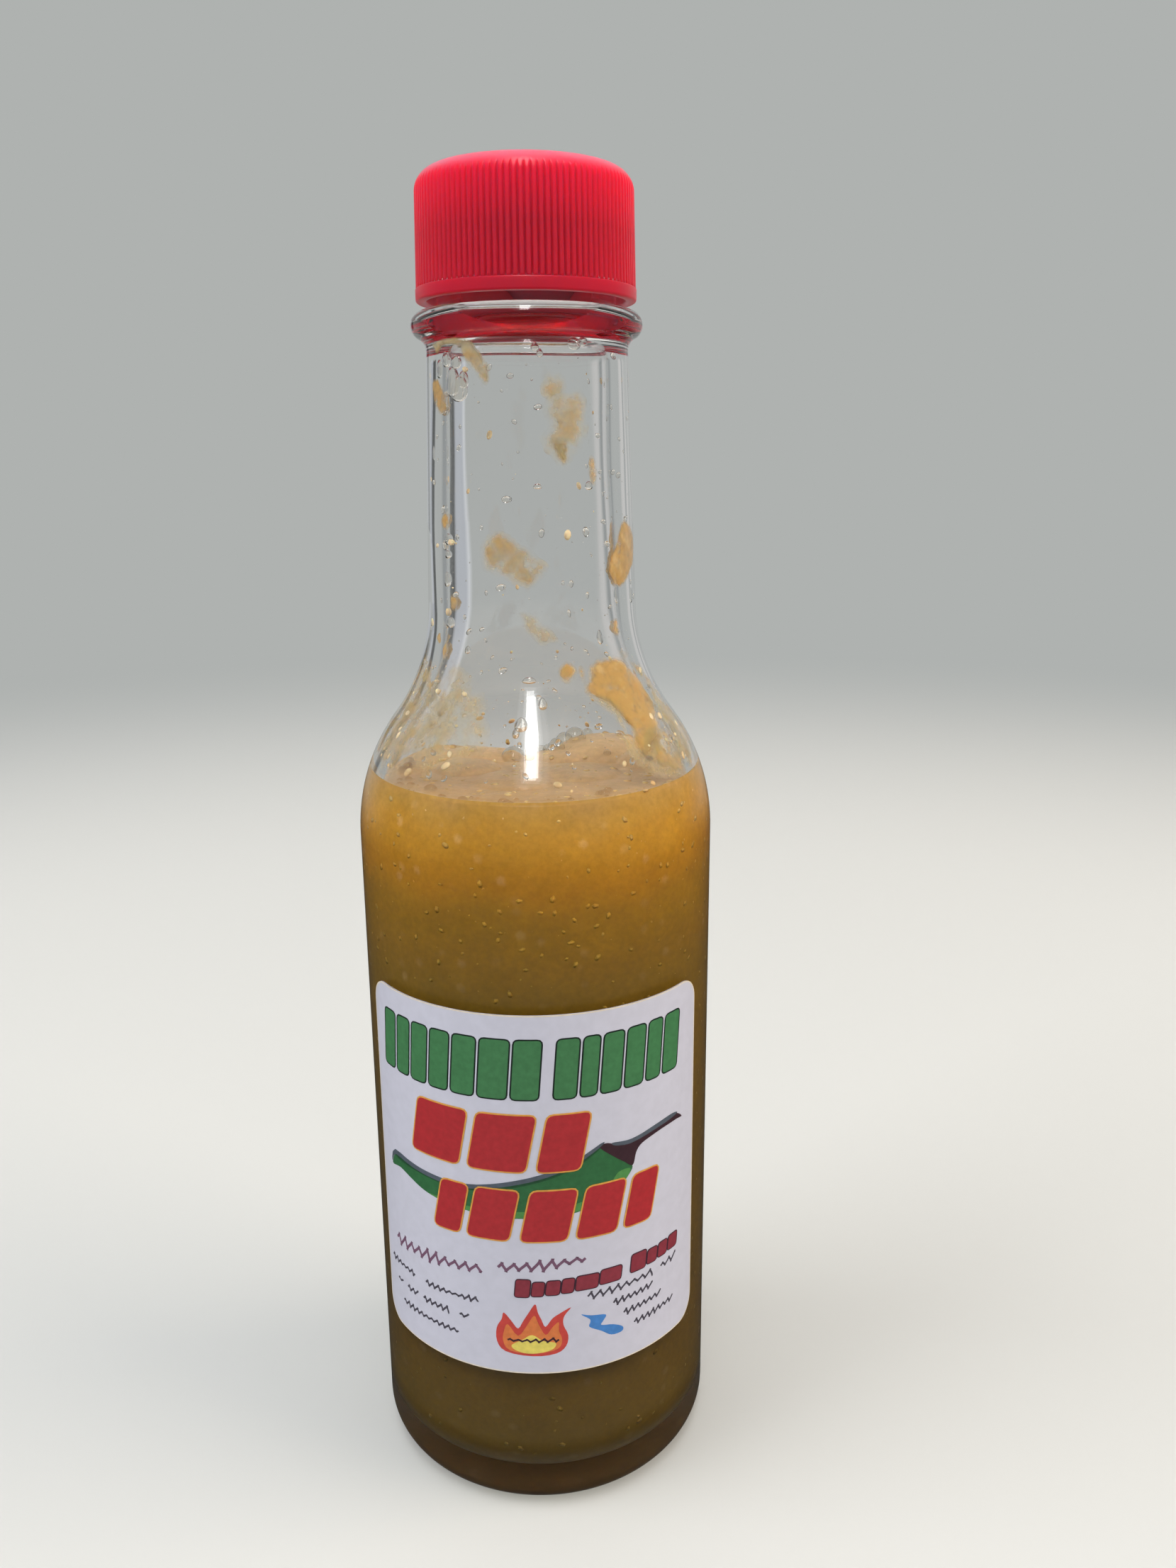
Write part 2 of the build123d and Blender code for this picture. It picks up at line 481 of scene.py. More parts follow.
@dataclass
class ScatteredBlobs(NodeTool):
    """Small rounded blobs of mixed sizes that lie on a surface.

    The named inputs are Density per square metre, Least and Most radius in metres, Favour, a power
    that makes small ones commoner, Length and Thickness as shares of the radius, and Seed.
    """

    fineness: int = 1
    share_layer: str = "share"

    def run(self, obj: bpy.types.Object) -> bpy.types.Object:
        """Scatter blobs over the object's surface and keep only the blobs."""
        tree, given = self.start()
        share = add_node(tree, "GeometryNodeInputNamedAttribute", {"Name": self.share_layer})
        amount = add_node(tree, "ShaderNodeMath", {0: share[0], 1: given["Density"]}, operation="MULTIPLY")
        spread = add_node(tree, "GeometryNodeDistributePointsOnFaces",
            {"Mesh": given["Geometry"], "Density": amount[0], "Seed": given["Seed"]})
        luck = add_node(tree, "FunctionNodeRandomValue", {"Seed": given["Seed"]})
        common = add_node(tree, "ShaderNodeMath", {0: luck[1], 1: given["Favour"]}, operation="POWER")
        size = add_node(tree, "ShaderNodeMapRange", {"Value": common[0], "To Min": given["Least"],
            "To Max": given["Most"]})
        stretch = add_node(tree, "FunctionNodeRandomValue", {2: 0.7, 3: given["Length"],
            "Seed": given["Seed"]})
        form = add_node(tree, "ShaderNodeCombineXYZ", {"X": stretch[1], "Y": 1.0, "Z": given["Thickness"]})
        scale = add_node(tree, "ShaderNodeVectorMath", {0: form[0], "Scale": size[0]}, operation="SCALE")
        spin = add_node(tree, "FunctionNodeRandomValue", {3: 2 * math.pi, "Seed": 7})
        about = add_node(tree, "ShaderNodeCombineXYZ", {"Z": spin[1]})
        spun = add_node(tree, "FunctionNodeEulerToRotation", {0: about[0]})
        rotation = add_node(tree, "FunctionNodeRotateRotation", {0: spread["Rotation"], 1: spun[0]},
            rotation_space="LOCAL")
        blob = add_node(tree, "GeometryNodeMeshIcoSphere", {"Radius": 1.0, "Subdivisions": self.fineness})
        copies = add_node(tree, "GeometryNodeInstanceOnPoints",
            {"Points": spread["Points"], "Instance": blob[0], "Rotation": rotation[0], "Scale": scale[0]})
        self.end(tree, copies[0])
        return self.apply(obj, tree)


# --- Finishes ---


@dataclass(frozen=True)
class FlintGlass:
    """Soda-lime container glass, fire-polished: clear, with faint waves from the mould."""

    name: str = "flint_glass"
    tint: str = "#FCFCFC"
    ior: float = 1.52
    wave: float = 9.0
    wave_depth: float = 0.05

    def build(self) -> bpy.types.Material:
        """Clear glass that lets lamp light through, and light that is caught inside it out."""
        material, tree, shader = new_material(self.name, {"Base Color": linear(self.tint), "IOR": self.ior,
            "Roughness": 0.0, "Transmission Weight": 1.0})
        place = add_node(tree, "ShaderNodeTexCoord")["Object"]
        waves = add_node(tree, "ShaderNodeTexNoise", {"Vector": place,
            "Scale": 1 / (self.wave * MM), "Detail": 1.0})
        bump = add_node(tree, "ShaderNodeBump", {"Strength": 0.35, "Distance": self.wave_depth * MM,
            "Height": waves["Fac"]})
        tree.links.new(bump[0], shader.inputs["Normal"])
        path = add_node(tree, "ShaderNodeLightPath")
        clear = add_node(tree, "ShaderNodeBsdfTransparent", {"Color": linear("#EEF1EF")})
        trapped = add_node(tree, "ShaderNodeMath", {0: path["Glossy Depth"], 1: 2.5},
            operation="GREATER_THAN")
        free = add_node(tree, "ShaderNodeBsdfTransparent", {"Color": linear("#FFFFFF")})
        freed = add_node(tree, "ShaderNodeMixShader", {0: trapped[0], 1: shader.outputs[0], 2: free[0]})
        mixed = add_node(tree, "ShaderNodeMixShader", {0: path["Is Shadow Ray"], 1: freed[0], 2: clear[0]})
        tree.links.new(mixed[0], tree.nodes["Material Output"].inputs["Surface"])
        return material


@dataclass(frozen=True)
class ClearDrop:
    """Drops and bubbles of thin clear liquid on the glass."""

    name: str = "clear_liquid"
    tint: str = "#FBF8F2"
    ior: float = 1.34

    def build(self) -> bpy.types.Material:
        """Smooth clear liquid."""
        material, tree, shader = new_material(self.name, {"Base Color": linear(self.tint), "IOR": self.ior,
            "Roughness": 0.0, "Transmission Weight": 1.0})
        path = add_node(tree, "ShaderNodeLightPath")
        clear = add_node(tree, "ShaderNodeBsdfTransparent", {"Color": linear("#F2F2F0")})
        mixed = add_node(tree, "ShaderNodeMixShader", {0: path["Is Shadow Ray"],
            1: shader.outputs[0], 2: clear[0]})
        tree.links.new(mixed[0], tree.nodes["Material Output"].inputs["Surface"])
        return material


@dataclass(frozen=True)
class CapPlastic:
    """Polypropylene, injection moulded and satin: light soaks in; a painted glow brightens its top edge and
    its inside is painted paler pink.
    """

    name: str = "red_polypropylene"
    body: str = "#AB1A30"
    # brighter red of the painted glow towards the top edge
    painted_glow: str = "#E0143A"
    # paler pink of the inside, painted light
    inside: str = "#C85A70"
    painted_glow_from: float = 161.5
    painted_glow_to: float = 168.5
    inner_radius: float = 12.2
    outer_radius: float = 12.8
    roughness: float = 0.34
    grain: float = 0.35

    def build(self) -> bpy.types.Material:
        """Red plastic with painted light: a painted glow towards its top edge and a paler pink inside."""
        material, tree, shader = new_material(self.name, {"Roughness": self.roughness, "IOR": 1.49,
            "Subsurface Weight": 1.0, "Subsurface Scale": 0.003, "Subsurface Radius": (1.0, 0.12, 0.09)})
        place = add_node(tree, "ShaderNodeTexCoord")["Object"]
        height = add_node(tree, "ShaderNodeSeparateXYZ", {0: place})
        # painted glow: the red brightens towards the top edge, where light shines through the thin plastic
        rise = add_node(tree, "ShaderNodeMapRange", {"Value": height["Z"], "From Min": self.painted_glow_from * MM,
            "From Max": self.painted_glow_to * MM})
        colour = add_node(tree, "ShaderNodeMix", {0: rise[0], 6: linear(self.body),
            7: linear(self.painted_glow)}, data_type="RGBA")
        flat = add_node(tree, "ShaderNodeCombineXYZ", {"X": height["X"], "Y": height["Y"]})
        reach = add_node(tree, "ShaderNodeVectorMath", {0: flat[0]}, operation="LENGTH")
        # painted light: the inside turns paler pink to stand in for the bright reflections seen through the
        # bead
        hollow = add_node(tree, "ShaderNodeMapRange", {"Value": reach["Value"],
            "From Min": self.outer_radius * MM,
            "From Max": self.inner_radius * MM})
        both = add_node(tree, "ShaderNodeMix", {0: hollow[0], 6: colour[2],
            7: linear(self.inside)}, data_type="RGBA")
        tree.links.new(both[2], shader.inputs["Base Color"])
        grain = add_node(tree, "ShaderNodeTexNoise", {"Vector": place,
            "Scale": 1 / (self.grain * MM), "Detail": 2.0})
        bump = add_node(tree, "ShaderNodeBump", {"Strength": 0.12, "Distance": 0.02 * MM,
            "Height": grain["Fac"]})
        tree.links.new(bump[0], shader.inputs["Normal"])
        return material


@dataclass(frozen=True)
class PepperSauce:
    """Cloudy sauce of ground peppers and vinegar: golden on top, olive brown where it is deep, partly as
    painted shade; its underside has painted light.
    """

    name: str = "pepper_sauce"
    low: float = 4.0
    high: float = 102.0
    clouds: float = 12.0
    drift: float = 7.0
    mottle: float = 4.5
    pulp: float = 0.8
    shreds: float = 2.4
    bend: float = 0.8
    # pale brown of the underside, painted light
    underside: str = "#AE8858"
    painted_underside_from: float = 4.75
    painted_underside_to: float = 5.2
    froth: str = "#CEA87C"
    front_froth: str = "#B88D58"
    froth_end: float = -5.0
    front_start: float = -19.0

    def build(self) -> bpy.types.Material:
        """Wet and slightly see-through, with soft clouds and fine pulp."""
        material, tree, shader = new_material(self.name, {
            "Roughness": 0.3, "IOR": 1.36, "Specular IOR Level": 0.4, "Subsurface Weight": 0.25,
            "Subsurface Scale": 0.0015, "Subsurface Radius": (1.0, 0.6, 0.15)})
        place = add_node(tree, "ShaderNodeTexCoord")["Object"]
        height = add_node(tree, "ShaderNodeSeparateXYZ", {0: place})
        clouds = add_node(tree, "ShaderNodeTexNoise", {"Vector": place,
            "Scale": 1 / (self.clouds * MM), "Detail": 3.0})
        drift = add_node(tree, "ShaderNodeMath", {0: clouds["Fac"], 1: 0.5}, operation="SUBTRACT")
        lift = add_node(tree, "ShaderNodeMath", {0: drift[0], 1: self.drift * MM, 2: height["Z"]},
            operation="MULTIPLY_ADD")
        level = add_node(tree, "ShaderNodeMapRange", {"Value": lift[0], "From Min": self.low * MM,
            "From Max": self.high * MM})
        # partly painted shade: the colour darkens from gold at the top to olive brown at the bottom, partly
        # its own colour and partly standing in for light that fades with depth
        depth = add_node(tree, "ShaderNodeValToRGB", {"Fac": level[0]}, stops=[
            (0.0, "#54401A"), (1.0, "#B08C56"), (0.05, "#5A4618"), (0.16, "#5F4717"),
            (0.45, "#674E15"), (0.714, "#745716"), (0.755, "#7F5D17"), (0.796, "#866214"),
            (0.827, "#906817"), (0.857, "#A27016"), (0.878, "#AC791A"), (0.898, "#B68426"),
            (0.918, "#B98830"), (0.932, "#B5893A"), (0.944, "#B38A44"), (0.953, "#B38B4C")])
        # painted light: the underside is brightened to a pale brown that stands in for light reaching it
        # through the base
        under = add_node(tree, "ShaderNodeMapRange", {"Value": height["Z"],
            "From Min": self.painted_underside_to * MM,
            "From Max": self.painted_underside_from * MM})
        side = add_node(tree, "ShaderNodeMix", {0: under[0], 6: depth[0],
            7: linear(self.underside)}, data_type="RGBA")
        front = add_node(tree, "ShaderNodeMapRange", {"Value": height["Y"], "From Min": self.froth_end * MM,
            "From Max": self.front_start * MM})
        froth = add_node(tree, "ShaderNodeMix", {0: front[0], 6: linear(self.froth),
            7: linear(self.front_froth)}, data_type="RGBA")
        top = add_node(tree, "ShaderNodeAttribute", attribute_name="open_surface")
        colour = add_node(tree, "ShaderNodeMix", {0: top["Fac"], 6: side[2], 7: froth[2]}, data_type="RGBA")
        flecks = add_node(tree, "ShaderNodeTexNoise", {"Vector": place, "Scale": 1 / (self.pulp * MM),
            "Detail": 4.0, "Roughness": 0.65})
        bright = add_node(tree, "ShaderNodeMapRange", {"Value": flecks["Fac"], "From Min": 0.35,
            "From Max": 0.72, "To Min": 0.93, "To Max": 1.16})
        mottle = add_node(tree, "ShaderNodeTexNoise", {"Vector": place,
            "Scale": 1 / (self.mottle * MM), "Detail": 2.0})
        soft = add_node(tree, "ShaderNodeMapRange", {"Value": mottle["Fac"], "From Min": 0.3,
            "From Max": 0.7, "To Min": 0.94, "To Max": 1.07})
        both = add_node(tree, "ShaderNodeMath", {0: bright[0], 1: soft[0]}, operation="MULTIPLY")
        toned = add_node(tree, "ShaderNodeHueSaturation", {"Value": both[0], "Color": colour[2]})
        bent = add_node(tree, "ShaderNodeVectorMath", {0: flecks["Color"], 1: (self.bend * MM,) * 3,
            2: place}, operation="MULTIPLY_ADD")
        shreds = add_node(tree, "ShaderNodeTexVoronoi", {"Vector": bent[0],
            "Scale": 1 / (self.shreds * MM)})
        kind = add_node(tree, "ShaderNodeSeparateColor", {0: shreds["Color"]})
        some = add_node(tree, "ShaderNodeMapRange", {"Value": kind[0], "From Min": 0.55, "From Max": 0.9})
        near = add_node(tree, "ShaderNodeMapRange", {"Value": shreds["Distance"], "From Min": 0.36,
            "From Max": 0.1}, interpolation_type="SMOOTHSTEP")
        there = add_node(tree, "ShaderNodeMath", {0: some[0], 1: near[0]}, operation="MULTIPLY")
        paler = add_node(tree, "ShaderNodeHueSaturation", {"Saturation": 0.9, "Value": 1.22,
            "Color": toned[0]})
        pulpy = add_node(tree, "ShaderNodeMix", {0: there[0], 6: toned[0], 7: paler[0]}, data_type="RGBA")
        tree.links.new(pulpy[2], shader.inputs["Base Color"])
        bump = add_node(tree, "ShaderNodeBump", {"Strength": 0.2, "Distance": 0.1 * MM,
            "Height": flecks["Fac"]})
        tree.links.new(bump[0], shader.inputs["Normal"])
        return material


@dataclass(frozen=True)
class SmearedSauce:
    """Sauce that has dried on the glass: golden where thick, beige and see-through where thin."""

    name: str = "smeared_sauce"
    thin: str = "#BCAC8C"
    thick: str = "#C49F60"
    pale: str = "#D4B47E"
    deep: str = "#BE9046"
    lumps: float = 2.2
    specks: float = 0.4

    def build(self) -> bpy.types.Material:
        """Translucent orange-tan paste whose cover follows its thickness."""
        material, tree, shader = new_material(self.name, {
            "Roughness": 0.36, "IOR": 1.36, "Subsurface Weight": 0.5, "Subsurface Scale": 0.0012,
            "Subsurface Radius": (1.0, 0.6, 0.2)})
        place = add_node(tree, "ShaderNodeTexCoord")["Object"]
        body = add_node(tree, "ShaderNodeAttribute", attribute_name="body")
        cover = add_node(tree, "ShaderNodeAttribute", attribute_name="cover")
        lumps = add_node(tree, "ShaderNodeTexNoise", {"Vector": place, "Scale": 1 / (self.lumps * MM),
            "Detail": 3.0, "Roughness": 0.5})
        amount = add_node(tree, "ShaderNodeMath", {0: lumps["Fac"], 1: 1.5,
            2: body["Fac"]}, operation="MULTIPLY_ADD")
        share = add_node(tree, "ShaderNodeMapRange", {"Value": amount[0], "From Min": 0.6, "From Max": 2.0})
        colour = add_node(tree, "ShaderNodeValToRGB", {"Fac": share[0]}, stops=[
            (0.0, self.thin), (1.0, self.deep), (0.5, self.thick), (0.68, self.thick),
            (0.80, self.pale)])
        tree.links.new(colour[0], shader.inputs["Base Color"])
        specks = add_node(tree, "ShaderNodeTexNoise", {"Vector": place,
            "Scale": 1 / (self.specks * MM), "Detail": 2.0})
        rough = add_node(tree, "ShaderNodeMath", {0: lumps["Fac"], 1: 0.7, 2: -0.345},
            operation="MULTIPLY_ADD")
        fine = add_node(tree, "ShaderNodeMath", {0: specks["Fac"], 1: 0.25, 2: rough[0]},
            operation="MULTIPLY_ADD")
        edge = add_node(tree, "ShaderNodeMath", {0: cover["Fac"], 1: 1.15, 2: fine[0]},
            operation="MULTIPLY_ADD")
        seen = add_node(tree, "ShaderNodeMapRange", {"Value": edge[0], "From Min": 0.02, "From Max": 1.15,
            "To Max": 0.92}, interpolation_type="SMOOTHSTEP")
        tree.links.new(seen[0], shader.inputs["Alpha"])
        bump = add_node(tree, "ShaderNodeBump", {"Strength": 0.4, "Distance": 0.12 * MM,
            "Height": lumps["Fac"]})
        tree.links.new(bump[0], shader.inputs["Normal"])
        return material


@dataclass(frozen=True)
class PepperPulp:
    """Bits of pepper flesh and seed: paler than the sauce round them, wet."""

    name: str = "pepper_pulp"
    low: float = 4.0
    high: float = 102.0
    grain: float = 1.1

    def build(self) -> bpy.types.Material:
        """Pale gold near the top and duller lower down, as the sauce is: partly their own colour and partly
        painted shade.
        """
        material, tree, shader = new_material(self.name,
            {"Roughness": 0.3, "IOR": 1.4, "Subsurface Weight": 0.2, "Subsurface Scale": 0.0006})
        place = add_node(tree, "ShaderNodeTexCoord")["Object"]
        height = add_node(tree, "ShaderNodeSeparateXYZ", {0: place})
        level = add_node(tree, "ShaderNodeMapRange", {"Value": height["Z"], "From Min": self.low * MM,
            "From Max": self.high * MM})
        # partly painted shade: the pulp darkens lower down with the sauce
        colour = add_node(tree, "ShaderNodeValToRGB", {"Fac": level[0]}, stops=[
            (0.0, "#6E5624"), (1.0, "#DEC8A2"), (0.16, "#705824"), (0.62, "#8B6C28"), (0.755, "#97742C"),
            (0.857, "#B8842E"), (0.93, "#C89C56")])
        kinds = add_node(tree, "ShaderNodeTexNoise", {"Vector": place,
            "Scale": 1 / (self.grain * MM), "Detail": 1.0})
        value = add_node(tree, "ShaderNodeMapRange", {"Value": kinds["Fac"], "From Min": 0.3,
            "From Max": 0.7, "To Min": 0.9, "To Max": 1.3})
        toned = add_node(tree, "ShaderNodeHueSaturation", {"Value": value[0], "Color": colour[0]})
        tree.links.new(toned[0], shader.inputs["Base Color"])
        return material


@dataclass(frozen=True)
class PlainFinish:
    """A moulded or printed surface with one colour, slightly uneven in tone."""

    name: str
    colour: str
    roughness: float = 0.45
    unevenness: float = 0.06
    pattern: float = 0.8

    def build(self) -> bpy.types.Material:
        """The colour with a soft tone pattern at the given scale in millimetres."""
        material, tree, shader = new_material(self.name, {"Roughness": self.roughness, "IOR": 1.5})
        place = add_node(tree, "ShaderNodeTexCoord")["Object"]
        tone = add_node(tree, "ShaderNodeTexNoise", {"Vector": place,
            "Scale": 1 / (self.pattern * MM), "Detail": 2.0})
        value = add_node(tree, "ShaderNodeMapRange",
            {"Value": tone["Fac"], "From Min": 0.3, "From Max": 0.7,
            "To Min": 1 - self.unevenness, "To Max": 1 + self.unevenness})
        mixed = add_node(tree, "ShaderNodeHueSaturation", {"Value": value[0], "Color": linear(self.colour)})
        tree.links.new(mixed[0], shader.inputs["Base Color"])
        return material


# --- The bottle ---


@dataclass(frozen=True)
class ThreadRidge:
    """A helical ridge on a round wall."""

    start: float
    pitch: float = 3.175
    turns: float = 1.25
    depth: float = 0.9
    foot: float = 2.2
    crest: float = 1.0
    fade: float = 18.0

    def reach(self, angles: np.ndarray, height: float) -> np.ndarray:
        """How far the ridge stands out at each angle in radians, at one height."""
        best = np.zeros_like(angles)
        for lap in range(math.ceil(self.turns) + 1):
            along = np.degrees(angles) + 360 * lap
            off = np.abs(height - self.start - self.pitch * along / 360)
            ridge = np.clip((self.foot / 2 - off) / ((self.foot - self.crest) / 2), 0, 1)
            ends = np.clip(np.minimum(along, 360 * self.turns - along) / self.fade, 0, 1)
            best = np.maximum(best, self.depth * ridge * ends)
        return best


@dataclass
class GlassBottle:
    """Bottle with a straight body, an ogee shoulder, a long neck, a bead and a threaded finish."""

    lip: float
    body_radius: float
    body_wall: float = 2.0
    shoulder_height: float = 89.5
    crest_radius: float = 25.2
    sweep_radius: float = 23.6
    neck_foot_radius: float = 13.15
    neck_head_radius: float = 12.2
    neck_wall: float = 2.5
    base_wall: float = 4.6
    heel_radius: float = 4.6
    inner_heel_radius: float = 6.0
    foot_width: float = 1.6
    push_up: float = 1.8
    bead_radius: float = 13.95
    bead_roll: float = 1.6
    bead_fillet: float = 1.5
    finish_radius: float = 10.75
    bore_radius: float = 8.0
    finish_height: float = 14.1
    lip_rounding: float = 0.6
    thread_start: float = 5.3
    unevenness: float = 0.07
    segments: int = 272

    def __post_init__(self) -> None:
        """Work out the heights that follow from the sizes."""
        self.bead_top = self.lip - self.finish_height
        self.bead_height = self.bead_top - self.bead_roll
        self.bead_core = self.bead_radius - self.bead_roll
        reach = self.neck_head_radius + self.bead_fillet - self.bead_core
        self.fillet_turn = math.degrees(math.acos(reach / (self.bead_roll + self.bead_fillet)))
        self.neck_head = self.bead_height - math.sqrt((self.bead_roll + self.bead_fillet) ** 2 - reach**2)
        inner = self.shoulder(self.body_radius - self.body_wall, self.neck_foot_radius - self.neck_wall,
            self.crest_radius - self.body_wall, self.sweep_radius + self.neck_wall,
            self.neck_head_radius - self.neck_wall)
        self.wall_heights = np.array([h for _, h in inner])
        self.wall_radii = np.array([r for r, _ in inner])

    def shoulder(self, low: float, high: float, crest: float, sweep: float, head: float) -> Profile:
        """Profile of the shoulder's two arcs and the neck up to the bead's fillet."""
        reach = high + sweep - (low - crest)
        rise = math.sqrt((crest + sweep) ** 2 - reach**2)
        turn = math.degrees(math.atan2(rise, reach))
        foot = self.shoulder_height + rise
        taper = math.degrees(math.atan2(high - head, self.neck_head - foot))
        convex = arc((low - crest, self.shoulder_height), crest, 0, turn, 22)
        hollow = arc((high + sweep, foot), sweep, 180 + turn, taper - turn, 22)
        return joined(convex, hollow, run(hollow[-1], (head, self.neck_head), 1.5))

    def inner_wall(self, height: float | np.ndarray) -> np.ndarray:
        """Radius of the cavity at a height, from the body to the bead."""
        return np.interp(height, self.wall_heights, self.wall_radii)

    def cavity(self) -> Profile:
        """Profile of the cavity from the middle of its floor to the neck's head."""
        radius = self.body_radius - self.body_wall
        centre = (radius - self.inner_heel_radius, self.base_wall + self.inner_heel_radius)
        return joined(run((0, self.base_wall), (centre[0], self.base_wall), 3.0),
            arc(centre, self.inner_heel_radius, -90, 90, 14),
            run((radius, centre[1]), (radius, self.shoulder_height), 2.5),
            list(zip(self.wall_radii, self.wall_heights)))

    def outside(self) -> Profile:
        """Profile of the outside from the middle of the push-up to the lip."""
        foot_outer = self.body_radius - self.heel_radius
        foot_inner = foot_outer - self.foot_width
        dome = (foot_inner**2 + self.push_up**2) / (2 * self.push_up)
        half = math.degrees(math.asin(foot_inner / dome))
        lip_core = (self.finish_radius - self.lip_rounding, self.lip - self.lip_rounding)
        return joined(
            arc((0, self.push_up - dome), dome, 90, -half, 16),
            run((foot_inner, 0), (foot_outer, 0), 0.8),
            arc((foot_outer, self.heel_radius), self.heel_radius, -90, 90, 16),
            run((self.body_radius, self.heel_radius), (self.body_radius, self.shoulder_height), 2.5),
            self.shoulder(self.body_radius, self.neck_foot_radius, self.crest_radius,
            self.sweep_radius, self.neck_head_radius),
            arc((self.neck_head_radius + self.bead_fillet, self.neck_head), self.bead_fillet, 180,
            -self.fillet_turn, 10),
            arc((self.bead_core, self.bead_height), self.bead_roll, -self.fillet_turn,
            90 + self.fillet_turn, 20),
            run((self.bead_core, self.bead_top), (self.finish_radius, self.bead_top), 0.8),
            run((self.finish_radius, self.bead_top), (self.finish_radius, lip_core[1]), 0.28),
            arc(lip_core, self.lip_rounding, 0, 90, 5))

    def build(self, material: bpy.types.Material) -> bpy.types.Object:
        """Turn the whole wall as one closed shell and add the thread and the mould's unevenness."""
        outside, cavity = self.outside(), self.cavity()
        bore = joined([(self.bore_radius + self.lip_rounding, self.lip)],
            arc((self.bore_radius + self.lip_rounding, self.lip - self.lip_rounding), self.lip_rounding, 90,
            90, 4), run((self.bore_radius, self.lip - self.lip_rounding), (self.bore_radius, self.bead_top),
            2.0), run((self.bore_radius, self.bead_top), cavity[-1], 1.0))
        profile = joined(outside, bore, cavity[::-1])
        ridge = ThreadRidge(self.bead_top + self.thread_start)
        inner_from = len(outside)

        def shift(angles: np.ndarray, radius: float, height: float, number: int) -> np.ndarray:
            if number >= inner_from:
                waves = (np.sin(2 * angles + height / 17) + 0.6 * np.sin(3 * angles - height / 9 + 1)
                    + 0.4 * np.sin(5 * angles + height / 6 + 2))
                calm = min(1.0, max(0.0, (self.bead_top - height) / 8)) * min(1.0, radius / 12)
                return self.unevenness * calm * waves
            if abs(radius - self.finish_radius) < 1e-6:
                return ridge.reach(angles, height)
            return 0 * angles

        return seat(lathe("glass_bottle", profile, self.segments, material, shift), "clear_glass", "bottle")


# --- The cap ---


